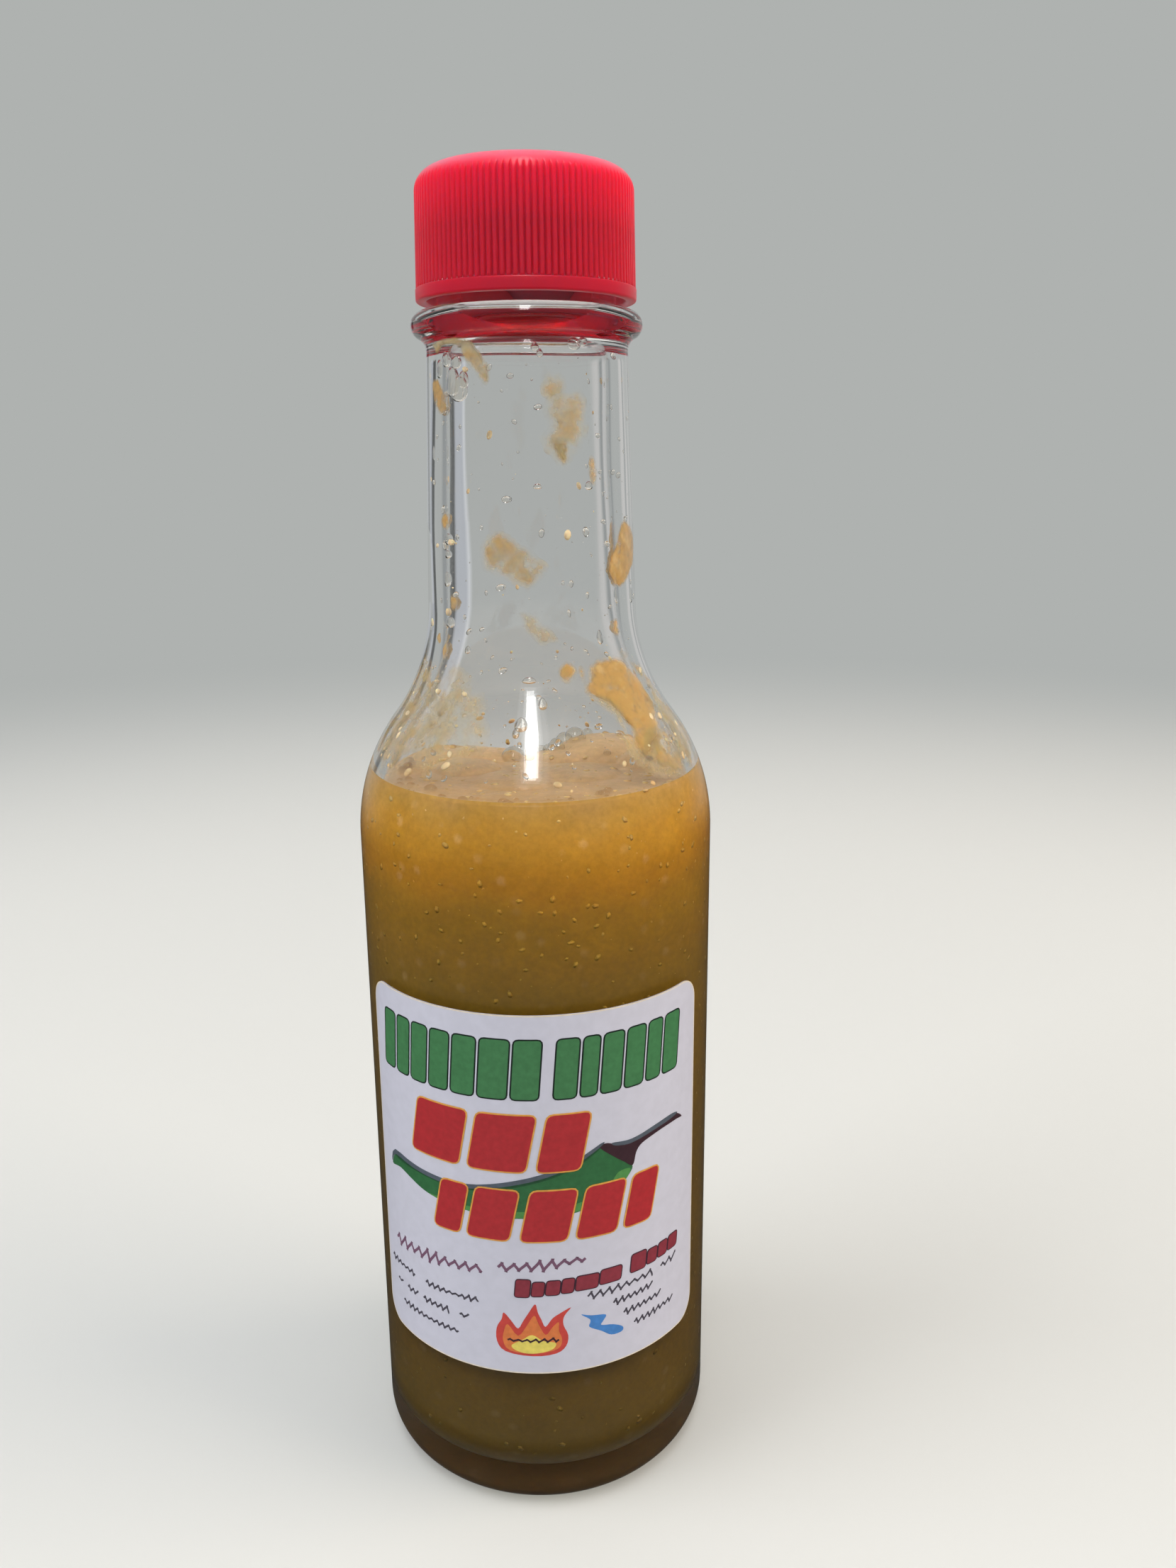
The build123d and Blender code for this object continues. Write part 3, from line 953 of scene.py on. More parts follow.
@dataclass
class ScrewCap:
    """Screw closure with a plain band at its foot and fine grip ribs that end at the top edge."""

    rim: float
    top: float
    bore: float = 11.9
    radius: float = 13.2
    underside: float = 1.4
    edge_radius: float = 2.4
    band: float = 1.5
    band_reach: float = 0.08
    draft: float = 0.27
    rim_rounding: float = 0.3
    ribs: int = 110
    rib_depth: float = 0.25
    groove_share: float = 0.62
    edge_blend: float = 0.08
    edge_ease: float = 0.02
    ridge: ThreadRidge = ThreadRidge(158.63 - 3.175 / 2, foot=1.1, crest=0.5)
    ridge_weld: float = 0.15

    def __post_init__(self) -> None:
        """Work out the skirt's lower end and its radius there."""
        self.rib_foot = self.rim + self.band
        self.foot_radius = self.radius - self.band_reach

    def skirt(self, height: float, groove: float) -> float:
        """Radius of the ribbed skirt: a groove runs out where it meets the rounded top edge.

        Args:
            height: Height in millimetres.
            groove: How deep this place is in a groove, from 0 on a rib to 1.

        Returns:
            The radius.
        """
        share = (height - self.rib_foot) / (self.top - self.rib_foot)
        straight = self.foot_radius - self.draft * share
        above = max(0.0, height - (self.top - self.edge_radius))
        rounded = straight - self.edge_radius + math.sqrt(max(0.0, self.edge_radius**2 - above**2))
        cut = straight - self.rib_depth * groove
        near = max(0.0, 1 - abs(rounded - cut) / self.edge_blend)
        return min(rounded, cut) - self.edge_ease * near**2 * min(1.0, 4 * groove)

    def sector(self, material: bpy.types.Material) -> bpy.types.Object:
        """The slice of the cap that holds one groove, from the axis to the axis."""
        lip, r = self.top - self.underside, self.rim_rounding
        edge_foot = self.top - self.edge_radius
        heights = [self.rib_foot + 0.02, *np.linspace(self.rib_foot + 0.3, edge_foot, 7),
            *(edge_foot + self.edge_radius * np.sin(np.radians(np.linspace(4, 90, 20))))]
        below = joined(
            [(0.0, lip)], run((4.0, lip), (self.bore, lip), 4.0),
            run((self.bore, lip), (self.bore, self.rim + r), 4.0),
            arc((self.bore + r, self.rim + r), r, 180, 90, 3),
            arc((self.radius - r, self.rim + r), r, 270, 90, 4),
            run((self.radius, self.rim + r), (self.radius, self.rib_foot - 0.15), 1.0),
            arc((self.radius - 0.15, self.rib_foot - 0.15), 0.15, 0, 90, 3))
        columns = (0, 0.1, 0.19, 0.27, 0.35, 0.43, 0.5, 0.57, 0.65, 0.73, 0.81, 0.9, 1)
        points, rows = [], []
        for number in range(len(below) + len(heights) + 2):
            row = []
            for share in columns:
                off = min(1.0, abs(share - 0.5) / (self.groove_share / 2))
                groove = 0.5 + 0.5 * math.cos(math.pi * off)
                if number < len(below):
                    radius, height = below[number]
                elif number < len(below) + len(heights):
                    height = heights[number - len(below)]
                    radius = self.skirt(height, groove)
                else:
                    radius, height = ((6.0, self.top), (0.0, self.top))[number - len(below) - len(heights)]
                turn = math.radians(360 / self.ribs * share)
                if radius < 1e-6 and row:
                    row.append(row[0])
                    continue
                row.append(len(points))
                points.append((radius * math.cos(turn), radius * math.sin(turn), height))
            rows.append(row)
        return mesh_object("cap_shell", np.array(points) * MM, bridge(rows, closed=False), material)

    def thread(self, material: bpy.types.Material) -> bpy.types.Object:
        """The thread inside the skirt, let a little into its wall."""
        ridge, weld, steps, points = self.ridge, self.ridge_weld, 120, []
        for step in range(steps + 1):
            turn = 2 * math.pi * ridge.turns * step / steps
            height = ridge.start + ridge.pitch * ridge.turns * step / steps
            crest = ridge.depth * (min(1.0, step / 6, (steps - step) / 6) * 0.98 + 0.02)
            for inwards, up in ((-weld, -ridge.foot), (crest, -ridge.crest),
                    (crest, ridge.crest), (-weld, ridge.foot)):
                radius = self.bore - inwards
                points.append((radius * math.cos(turn), radius * math.sin(turn), height + up / 2))
        rows = np.arange(len(points)).reshape(-1, 4)
        faces = [*bridge(rows), (3, 2, 1, 0), tuple(rows[-1])]
        return mesh_object("cap_thread", np.array(points) * MM, faces, material, smooth=False)

    def build(self, material: bpy.types.Material) -> None:
        """Repeat the slice round the axis and weld it into one shell, then add the thread."""
        shell = TurnedCopies("grip_ribs", {"Count": self.ribs}, material).run(self.sector(material))
        seat(shell, "red_cap", "cap")
        seat(self.thread(material), "red_cap", "cap")


# --- The sauce ---


@dataclass(frozen=True)
class Mound:
    """A soft lump in the sauce's surface: its place, spread and height."""

    x: float
    y: float
    spread: float
    height: float


@dataclass
class SauceFill:
    """The sauce up to its level, a little into the wall so that no air shows between them."""

    bottle: GlassBottle
    level: float
    into_wall: float = 0.17
    climb: float = 0.7
    climb_width: float = 0.9
    dip: float = 0.5
    edge_blend: float = 8.0
    crowding: float = 1.25
    segments: int = 192
    rings: int = 72
    mounds: tuple[Mound, ...] = tuple(Mound(*sizes) for sizes in (
        (-14.5, 5.0, 3.4, 1.2), (-7.5, 7.0, 5.6, 1.2), (9.5, 9.0, 7.5, 2.0),
        (15.0, 3.0, 4.5, 1.5), (3.5, 5.5, 4.0, 0.9), (-9.0, -1.0, 4.5, 0.8),
        (6.0, -4.0, 5.0, 0.6), (-16.5, -1.5, 3.0, 0.9), (-2.0, -8.0, 5.0, 0.5)))
    hollow: Mound = Mound(-3.8, 19.6, 7.9, 3.6)

    def sunk(self, x: np.ndarray, y: np.ndarray) -> np.ndarray:
        """How far the surface lies lower at the hollow that a pour has left at the back."""
        away = np.hypot(x - self.hollow.x, y - self.hollow.y) / self.hollow.spread
        return self.hollow.height * np.exp(-(away**2))

    def surface(self, x: np.ndarray, y: np.ndarray) -> np.ndarray:
        """Height of the surface: mounds, fine lumps and the film that climbs the wall."""
        radius = self.bottle.inner_wall(self.level - self.sunk(x, y)) + self.into_wall
        away = np.hypot(x, y)
        heap = np.zeros_like(x)
        for mound in self.mounds:
            share = np.clip(1 - np.hypot(x - mound.x, y - mound.y) / mound.spread, 0, 1)
            heap = np.maximum(heap, mound.height * np.sqrt(1 - (1 - share) ** 2.2))
        lumps = np.array([noise.noise((a * 0.3, b * 0.3, 3.0)) * 0.12
            + noise.noise((a * 0.9, b * 0.9, 8.0)) * 0.03 for a, b in zip(x, y)])
        calm = np.clip((radius - away) / 2.5, 0, 1)
        rise = self.climb * np.exp(-np.maximum(radius - away, 0) / self.climb_width)
        return self.level - self.dip + (heap + lumps + 0.3) * calm + rise - self.sunk(x, y)

    def height_at(self, x: float, y: float) -> float:
        """Height of the surface at one place."""
        return float(self.surface(np.array([x]), np.array([y]))[0])

    def build(self, material: bpy.types.Material) -> bpy.types.Object:
        """Turn the side, then close it with the uneven surface."""
        cavity = self.bottle.cavity()
        top = self.level + self.climb - self.dip
        side = [(0.0, self.bottle.base_wall - self.into_wall)]
        for (radius, height), (next_radius, next_height) in zip(cavity[1:], cavity[2:]):
            if height >= top - 0.3:
                break
            along = np.array([next_radius - radius, next_height - height])
            out = np.array([along[1], -along[0]]) / max(1e-9, math.hypot(*along))
            side.append((radius + self.into_wall * out[0], height + self.into_wall * out[1]))
        side.append((float(self.bottle.inner_wall(top)) + self.into_wall, top))
        angles = np.linspace(0, 2 * math.pi, self.segments, endpoint=False)
        shares = 1 - np.linspace(0, 1, self.rings + 1)[1:] ** self.crowding
        rings = [np.array([[0.0, 0.0, side[0][1]]])]
        for radius, height in side[1:]:
            part = max(0.0, 1 - (top - height) / self.edge_blend)
            heights = height - part * self.sunk(radius * np.cos(angles), radius * np.sin(angles))
            radii = radius + self.bottle.inner_wall(heights) - self.bottle.inner_wall(height)
            rings.append(ring(angles, radii, heights))
        for share in shares[:-1]:
            x, y = radii * share * np.cos(angles), radii * share * np.sin(angles)
            rings.append(np.stack([x, y, self.surface(x, y)], 1))
        rings.append(np.array([[0.0, 0.0, self.height_at(0.0, 0.0)]]))
        points, faces = through(rings)
        piece = mesh_object("sauce_body", points * MM, faces, material)
        count, below = len(piece.data.vertices), 1 + self.segments * (len(side) - 1)
        set_layer(piece, "open_surface", [float(i >= below) for i in range(count)])
        return seat(piece, "pepper_sauce", "sauce")


# --- What clings to the glass ---


@dataclass(frozen=True)
class Smear:
    """Sauce on the inner wall, outlined by angle and height.

    Thickness, how full its colour is, how ragged its outline is and how wide its thin edge is follow.
    """

    outline: tuple[Point2, ...]
    thickness: float
    body: float
    ragged: float = 0.25
    edge: float = 1.0


SMEARS = (
    # the large golden one on the shoulder, the paler lumps under it and the film round them
    Smear(((31.5, 109.4), (36.5, 111.3), (45.6, 112.2), (58.8, 111.9), (66.5, 110.2), (71.5, 108.2),
        (73.5, 106.2), (69.4, 104.5), (62.7, 102.7), (55.6, 101.4), (47.7, 101.0), (44.9, 102.7),
        (46.6, 104.4), (44.9, 106.1), (37.6, 107.5), (32.2, 108.4)), 0.6, 0.62, 0.35, 1.9),
    Smear(((58.7, 103.1), (67, 102.6), (71, 100.8), (69.3, 99.0), (63.9, 98.2), (57.6, 98.8), (51.4, 100.0),
        (48.9, 101.2), (52.6, 102.3)), 0.3, 0.25, 0.5, 1.6),
    Smear(((30, 108.2), (37, 106.6), (41.5, 105.4), (42.5, 103.6), (41.0, 101.6), (45.4, 99.5), (55, 98.2),
        (66, 97.7), (62, 99.2), (51, 101.0), (46.2, 102.6), (47.0, 104.6), (45.6, 106.6), (37.6, 108.0)),
        0.2, 0.0, 0.3, 1.2),
    Smear(((60, 112.9), (72, 111.2), (84, 108.6), (92, 104.5), (94, 100.5), (80, 98.2), (68, 98.2),
        (69.4, 101.5), (72, 104.0), (75, 106.4), (70, 109.4), (64, 111.2)), 0.2, 0.0, 0.4, 2.0),
    # lumps that have slid down beside it
    Smear(((72, 106.5), (80, 107.5), (85, 105.5), (82, 102.8), (75, 102.5), (71, 104.2)), 0.2, 0.2,
        0.8, 1.4),
    Smear(((69, 101.4), (76, 102.0), (81, 100.6), (77, 98.9), (70, 99.0)), 0.22, 0.3, 0.6, 1.4),
    # the flow that hangs under the bead at the left
    Smear(((-75, 149.8), (-66, 148.2), (-58, 148.9), (-48, 148.8), (-41, 147.6), (-34, 146.4),
        (-25, 144.6), (-22, 145.2), (-24, 147.0), (-32, 148.8), (-40, 150.3), (-60, 150.6)),
        0.5, 0.1, 0.25),
    Smear(((-74, 145.0), (-66, 145.4), (-58, 143.8), (-55, 142.2), (-62, 141.6), (-72, 143.0)),
        0.4, 0.6, 0.3, 0.8),
    # the beige one on the neck
    Smear(((14, 145.2), (22, 145.6), (26, 144.2), (20, 143.0), (14, 143.4)), 0.16, 0.3, 0.4, 1.2),
    Smear(((17, 142.8), (28, 143.6), (38, 143), (40, 140.6), (36, 138.4), (30, 137.0), (24, 136.0),
        (18, 137.2), (13, 138.8), (19, 139.8), (15, 141.2)), 0.26, 0.05, 0.4, 2.4),
    Smear(((17.5, 138.2), (22, 138.4), (28, 138.4), (27, 136.6), (24.5, 135.9), (21, 136.6)), 0.35, 0.5,
        0.3),
    # the leaf-shaped one at the right edge of the neck
    Smear(((76, 128.7), (96, 126.4), (92, 123.8), (86, 123), (72, 121.4), (62, 121.2), (57, 123.5),
        (64, 126.0)), 0.5, 0.7, 0.25),
    # golden and mottled, halfway up the neck
    Smear(((-26, 126), (-22, 127.3), (-14, 127.6), (-3, 126.1), (4, 125.4), (10, 124), (6, 122.6),
        (1, 121.9), (-8, 122.6), (-16, 123.2), (-24, 124.0)), 0.36, 0.12, 0.3, 2.0),
    Smear(((-4, 118.4), (4, 118.4), (12, 117.0), (17, 115.4), (10, 114.8), (2, 116.2)), 0.15, 0.0, 0.4),
    # small pieces next to the large one
    Smear(((18, 111.6), (22, 112.4), (26.5, 111.3), (23, 110.2), (19, 110.5)), 0.4, 0.6, 0.2),
    Smear(((29, 111.5), (31, 111.6), (31.4, 110.0), (29.4, 110.2)), 0.3, 0.6, 0.1),
    # the seed-shaped drop
    Smear(((43.2, 136.1), (46.5, 136.2), (48, 134.6), (46.5, 133.4), (43.6, 133.8)), 0.5, 0.7, 0.1),
    # a thin film low on the left of the shoulder
    Smear(((-82, 112.5), (-70, 111.6), (-52, 109.0), (-38, 107.2), (-36, 105.6), (-44, 102.8),
        (-52, 99.6), (-72, 98.8), (-84, 100.2), (-90, 105)), 0.2, 0.0, 0.8, 4.0),
    Smear(((-48, 111.5), (-34, 110.2), (-22, 107.5), (-18, 104.0), (-26, 101.0), (-40, 99.6), (-50, 103)),
        0.12, 0.0, 0.8, 3.0),
    # lumps of pulp in a chain up the left side
    *(Smear(tuple((a + wide * math.cos(t) / 0.25, h + tall * math.sin(t))
        for t in np.linspace(0, 2 * math.pi, 7)[:-1]), 0.6, 0.45, 0.3)
      for a, h, wide, tall in ((-58.5, 129.1, 0.9, 0.8), (-50.4, 119.5, 0.9, 0.9), (-55.5, 113.4, 0.9, 1.1),
        (-63.7, 114.7, 0.7, 0.8), (-71.0, 109.8, 0.8, 0.9),
        (-58.0, 107.4, 0.6, 0.8), (-72.3, 105.1, 0.8, 0.9),
        (-71.5, 100.9, 0.6, 0.8), (-58.0, 103.2, 0.5, 0.6),
        (60.5, 116.0, 0.6, 0.9))),
)


@dataclass(frozen=True)
class Drop:
    """A rounded drop on the wall: its angle, height, half width, half height and bulge."""

    angle: float
    height: float
    wide: float
    tall: float
    bulge: float


CLEAR_DROPS = tuple(Drop(*sizes) for sizes in (
    (-44.5, 144.2, 1.25, 1.45, 0.7), (-50.5, 145.0, 1.0, 1.7, 0.6), (-64.0, 146.6, 0.7, 1.1, 0.5),
    (-57.0, 147.6, 0.6, 0.9, 0.4), (-47.0, 147.2, 0.8, 0.8, 0.4), (-40.5, 145.2, 0.7, 1.0, 0.5),
    (34.0, 149.2, 0.8, 0.9, 0.5), (40.5, 149.5, 0.6, 0.8, 0.4), (8.0, 148.6, 0.45, 0.5, 0.3),
    (11.0, 147.9, 0.35, 0.5, 0.25), (1.0, 110.6, 0.8, 0.4, 0.4), (7.5, 107.9, 0.5, 0.7, 0.45),
    (-2.5, 105.6, 0.75, 0.8, 0.5), (-4.5, 104.7, 0.4, 0.6, 0.4), (46.0, 115.2, 0.4, 0.9, 0.35),
    (42.0, 133.2, 0.5, 0.5, 0.3), (84.0, 119.6, 0.5, 1.0, 0.4), (-73.0, 137.0, 0.3, 0.9, 0.3),
    (-56.0, 127.0, 0.5, 0.7, 0.35), (-56.5, 125.2, 0.4, 0.5, 0.3), (-57.5, 122.2, 0.4, 0.9, 0.3),
    (-54.0, 117.0, 0.6, 0.7, 0.35), (-37.0, 113.9, 0.35, 0.5, 0.3), (8.0, 133.2, 0.5, 0.3, 0.3),
))


@dataclass
class WallSmears:
    """Smears, lumps and drops on the inside of the neck and shoulder."""

    bottle: GlassBottle
    into_wall: float = 0.12
    spacing: float = 0.3
    growth: float = 0.28
    soft_share: float = 0.6
    full_cover: float = 0.3

    def smears(self, material: bpy.types.Material) -> bpy.types.Object:
        """All smears as one piece of closed lumpy shells."""
        shells, bodies, covers = Shells(), [], []
        for number, smear in enumerate(SMEARS):
            middle = float(np.mean([h for _, h in smear.outline]))
            scale = math.radians(1) * float(self.bottle.inner_wall(middle))
            loop = smooth_loop([(a * scale, h) for a, h in smear.outline], 8)
            jitter = [noise.noise((x * 0.9, y * 0.9, number)) + 0.5 * noise.noise((x * 2.3, y * 2.3,
                number)) for x, y in loop]
            centre = loop.mean(0)
            outwards = (loop - centre) / np.maximum(np.linalg.norm(loop - centre, axis=1), 0.3)[:, None]
            loop = loop + outwards * (smear.ragged * np.array(jitter) + self.growth * smear.edge)[:, None]
            patch = Patch.fill(loop, self.spacing)
            angle, height = patch.flat[:, 0] / scale, patch.flat[:, 1]
            near = np.clip(patch.depth / smear.edge, 0, 1)
            swell = np.sqrt(1 - (1 - near) ** 2)
            lumps = np.array([0.62 + 0.5 * noise.noise((x * 0.8, y * 0.8, number + 0.5))
                + 0.35 * noise.noise((x * 2.0, y * 2.0, number + 2.5))
                for x, y in patch.flat])
            thick = np.maximum(smear.thickness * swell * lumps, 0.02 * swell)
            wall = self.bottle.inner_wall(height)
            sunk = self.into_wall * (0.8 + 0.04 * (number % 6)) * (0.3 + 0.7 * near)
            points, faces = patch.solid(around(angle, wall + sunk, height),
                around(angle, wall - thick, height))
            shells.add(points, faces)
            bodies += [smear.body] * len(points)
            fade = np.clip(near / self.soft_share, 0, 1)
            cover = (1 - np.exp(-thick / self.full_cover)) * fade**2 * (3 - 2 * fade)
            covers += [*cover, *cover]
        piece = shells.build("wall_smears", material)
        set_layer(piece, "body", bodies)
        set_layer(piece, "cover", covers)
        return seat(piece, "pepper_sauce", "sauce")

    def drops(self, drops: Sequence[Drop], material: bpy.types.Material) -> bpy.types.Object:
        """The larger clear drops, each a little let into the wall.

        Args:
            drops: The drops.
            material: Their material.

        Returns:
            All drops as one piece.
        """
        shells = Shells()
        form, faces = ball(9)
        for drop in drops:
            across, up, inwards = form[:, 0] * drop.wide, form[:, 2] * drop.tall, form[:, 1] * drop.bulge
            inwards = np.where(inwards < 0, inwards * min(1.0, 0.2 / drop.bulge), inwards)
            sag = 1 + 0.22 * np.clip(-form[:, 2], -1, 1)
            wall = self.bottle.inner_wall(drop.height + up)
            turns = drop.angle + np.degrees(across * sag / float(self.bottle.inner_wall(drop.height)))
            shells.add(around(turns, wall - inwards, drop.height + up), [f[::-1] for f in faces])
        return seat(shells.build("clear_drops", material), "clear_glass")


def up_to(height: float, start: float, reach: float) -> float:
    """A share that is 1 up to a height and fades above it."""
    return math.exp(-max(0.0, height - start) / reach)


def beside(angle: float, middle: float, reach: float = 16.0) -> float:
    """A share that is 1 at an angle and fades on both sides of it."""
    return math.exp(-((angle - middle) / reach) ** 2)


@dataclass
class LooseBits:
    """Droplets, pulp, seeds and bubbles, nearly all of them scattered by node trees."""

    bottle: GlassBottle
    fill: SauceFill
    segments: int = 96
    ring_top: float = 149.0
    ring_step: float = 1.5
    press: float = 0.004

    def carrier(self, name: str, profile: Profile, share: Callable[[float, float], float],
            material: bpy.types.Material) -> bpy.types.Object:
        """An open turned surface that things are scattered on, with their share at each point.

        Args:
            name: Its name, which the finished piece keeps.
            profile: Radius and height of its rings, downwards so that it faces the axis.
            share: Share of the full density at an angle in degrees and a height.
            material: The material of what is scattered.

        Returns:
            The surface.
        """
        angles = np.linspace(0, 360, self.segments, endpoint=False)
        rings = [around(angles, np.full(self.segments, r), np.full(self.segments, h)) for r, h in profile]
        points, faces = through(rings)
        obj = mesh_object(name, points * MM, faces, material)
        set_layer(obj, "share", [share((a + 180) % 360 - 180, h) for _, h in profile for a in angles])
        return obj

    def float_on_surface(self, obj: bpy.types.Object) -> None:
        """Lift a carrier's points to the sauce's open surface."""
        for vertex in obj.data.vertices:
            vertex.co.z = self.fill.height_at(vertex.co.x / MM, vertex.co.y / MM) * MM

    def scatter(self, obj: bpy.types.Object, slot: str, fineness: int, seed: int, density: float,
            least: float, most: float, favour: float, thickness: float, length: float = 1.5) -> None:
        """Scatter blobs over a carrier and seat them as one piece.

        Args:
            obj: The carrier, which becomes the piece.
            slot: Not used.
            fineness: How finely each blob is divided.
            seed: Where the random draws start.
            density: Blobs on a square metre where the share is 1.
            least: Least radius in millimetres.
            most: Largest radius in millimetres.
            favour: Power that makes small ones commoner.
            thickness: Thickness as a share of the radius.
            length: Longest length as a share of the radius.
        """
        values = {"Density": density, "Least": least * MM, "Most": most * MM, "Favour": favour,
            "Length": length, "Thickness": thickness, "Seed": seed}
        tool = ScatteredBlobs(obj.name, values, obj.data.materials[0], fineness)
        seat(tool.run(obj), slot)

    def wall_rings(self, above_sauce: float, inset: float = 0.0) -> Profile:
        """Rings down the inner wall, from under the bead to just above the sauce."""
        heights = np.arange(self.ring_top, self.fill.level + above_sauce, -self.ring_step)
        return [(float(self.bottle.inner_wall(h)) - inset, float(h)) for h in heights]

    def droplets(self, material: bpy.types.Material) -> None:
        """Tiny clear drops on the inside of the neck and shoulder."""

        def share(angle: float, height: float) -> float:
            return min(1.0, 0.10 + 0.75 * up_to(height, 100, 9) + 0.5 * beside(abs(angle), 62))

        self.scatter(self.carrier("wall_droplets", self.wall_rings(0.8), share, material), "clear_glass",
            fineness=2, seed=5, density=4.6e5, least=0.05, most=0.42, favour=4.0, thickness=0.5)

    def paste_specks(self, material: bpy.types.Material) -> None:
        """Specks of pulp left on the inside of the neck and shoulder."""

        def share(angle: float, height: float) -> float:
            left = beside(angle, -64) * up_to(height, 112, 12)
            right = beside(angle, 72) * up_to(height, 104, 5)
            return min(1.0, 0.015 + 0.25 * up_to(height, 99, 6) + 0.5 * left + 0.45 * right)

        self.scatter(self.carrier("wall_pulp", self.wall_rings(0.4, 0.03), share, material), "pepper_sauce",
            fineness=2, seed=11, density=4.2e5, least=0.06, most=0.45, favour=3.0, thickness=0.5)

    def pulp(self, material: bpy.types.Material) -> None:
        """Flecks of pulp and seed that press against the glass in the sauce."""
        out = self.fill.into_wall - self.press
        rings = [(r + out, h) for r, h in self.bottle.cavity() if 7 < h < self.fill.level - 0.6]

        def share(angle: float, height: float) -> float:
            return 0.35 + 0.65 * min(1.0, max(0.0, (height - 55) / 30))

        self.scatter(self.carrier("sauce_pulp", rings, share, material), "pepper_sauce", fineness=1, seed=3,
            density=4.5e5, least=0.04, most=0.4, favour=3.6, thickness=0.08)

    def surface_pulp(self, material: bpy.types.Material) -> None:
        """Specks that float on the open surface."""
        rings = [(20.0 - 0.8 * i, 0.0) for i in range(24)]
        obj = self.carrier("surface_pulp", rings, lambda angle, height: 1.0, material)
        self.float_on_surface(obj)
        self.scatter(obj, "pepper_sauce", fineness=1, seed=9, density=4.0e5, least=0.06, most=0.45,
            favour=4.0, thickness=0.35)

    def foam(self, clear: bpy.types.Material) -> None:
        """Bubbles where the surface meets the glass, more of them at the back."""
        radius = float(self.bottle.inner_wall(self.fill.level))
        rings = [(radius - x, 0.0) for x in (3.6, 2.4, 1.6, 1.0, 0.5, 0.1)]

        def share(angle: float, height: float) -> float:
            return 1.0 if abs(angle) > 120 else 0.3

        obj = self.carrier("surface_bubbles", rings, share, clear)
        self.float_on_surface(obj)
        self.scatter(obj, "clear_glass", fineness=2, seed=21, density=9.0e5, least=0.12, most=0.9,
            favour=3.0, thickness=0.8, length=1.1)

    def floating_bubbles(self, clear: bpy.types.Material) -> None:
        """A few larger bubbles that float between the mounds."""
        shells = Shells()
        form, faces = ball(10)
        for x, y, size in ((-3.0, 3.5, 1.7), (0.6, 5.5, 0.8), (2.6, 6.2, 1.2), (1.4, 8.2, 0.7),
                (5.2, 8.5, 1.5), (-1.2, 11.0, 0.9), (3.6, 12.5, 1.3), (7.0, 13.0, 0.8),
                (-8.5, 4.5, 0.6), (9.5, 2.5, 0.5), (0.2, 16.5, 1.1), (4.6, 17.3, 0.7)):
            base = self.fill.height_at(x, y)
            for radius, sides in ((size, faces), (size * 0.94, [f[::-1] for f in faces])):
                shells.add(form * radius + [x, y, base + size * 0.1], sides)
        seat(shells.build("floating_bubbles", clear), "clear_glass")


# --- The label ---


class Ink(Enum):
    """Printed colours: name, colour and layer, 0 for the lowest one."""

    BORDER = ("cut_edge", "#CFC2AC", 0)
    POD = ("ink_leaf_green", "#2B5F38", 0)
    POD_LIGHT = ("ink_bright_green", "#477F42", 1)
    POD_DARK = ("ink_deep_green", "#20482E", 1)
    STALK = ("ink_brown", "#38232A", 2)
    POD_SHADE = ("ink_slate", "#4A525C", 3)
    FLAME_OUT = ("ink_flame_red", "#B23A33", 0)
    FLAME_MID = ("ink_flame_orange", "#C26C38", 1)
    FLAME_CORE = ("ink_flame_yellow", "#CBBB58", 2)
    TITLE_RIM = ("ink_black_green", "#18231F", 0)
    TITLE = ("ink_title_green", "#3A6F45", 1)
    RED_RIM = ("ink_amber", "#C08A3C", 4)
    RED = ("ink_red", "#9C2127", 5)
    PLUM = ("ink_plum", "#6A4A60", 0)
    MAROON_RIM = ("ink_dark_plum", "#3B2430", 3)
    MAROON = ("ink_maroon", "#7C2C38", 4)
    GREY = ("ink_charcoal", "#45414C", 0)
    BLUE = ("ink_blue", "#3B74B4", 0)


def strip(path: np.ndarray, width: float, closed: bool = False) -> Patch:
    """A band of even width along a path.

    Args:
        path: The middle line, in millimetres.
        width: The band's width.
        closed: Whether the ends meet.

    Returns:
        The band as a patch.
    """
    ahead, behind = np.roll(path, -1, 0), np.roll(path, 1, 0)
    if not closed:
        ahead[-1], behind[0] = path[-1], path[0]
    along = ahead - behind
    along /= np.maximum(np.linalg.norm(along, axis=1), 1e-9)[:, None]
    side = np.stack([-along[:, 1], along[:, 0]], 1) * width / 2
    flat = np.concatenate([path + side, path - side])
    count = len(path)
    spans = count if closed else count - 1
    faces = [(i + count, (i + 1) % count + count, (i + 1) % count, i) for i in range(spans)]
    return Patch(flat, faces, np.zeros(len(flat)))


def eased(corners: Sequence[Point2], size: float, steps: int = 4) -> np.ndarray:
    """Round the corners of an outline.

    Args:
        corners: Its corners.
        size: Length taken off each side of a corner.
        steps: Points on each rounding.

    Returns:
        The rounded outline.
    """
    p = np.array(corners, float)
    rows = []
    for before, here, after in zip(np.roll(p, 1, 0), p, np.roll(p, -1, 0)):
        a = here + (before - here) * min(0.48, size / max(1e-6, np.linalg.norm(before - here)))
        b = here + (after - here) * min(0.48, size / max(1e-6, np.linalg.norm(after - here)))
        rows += [a * (1 - t) ** 2 + 2 * here * t * (1 - t) + b * t**2 for t in np.linspace(0, 1, steps)]
    return np.array(rows)


def grown(outline: np.ndarray, amount: float) -> np.ndarray:
    """Push an outline outwards by an amount."""
    loop = outline if np.cross(outline, np.roll(outline, -1, 0)).sum() > 0 else outline[::-1]
    along = np.roll(loop, -1, 0) - np.roll(loop, 1, 0)
    along /= np.maximum(np.linalg.norm(along, axis=1), 1e-9)[:, None]
    return loop + np.stack([along[:, 1], -along[:, 0]], 1) * amount


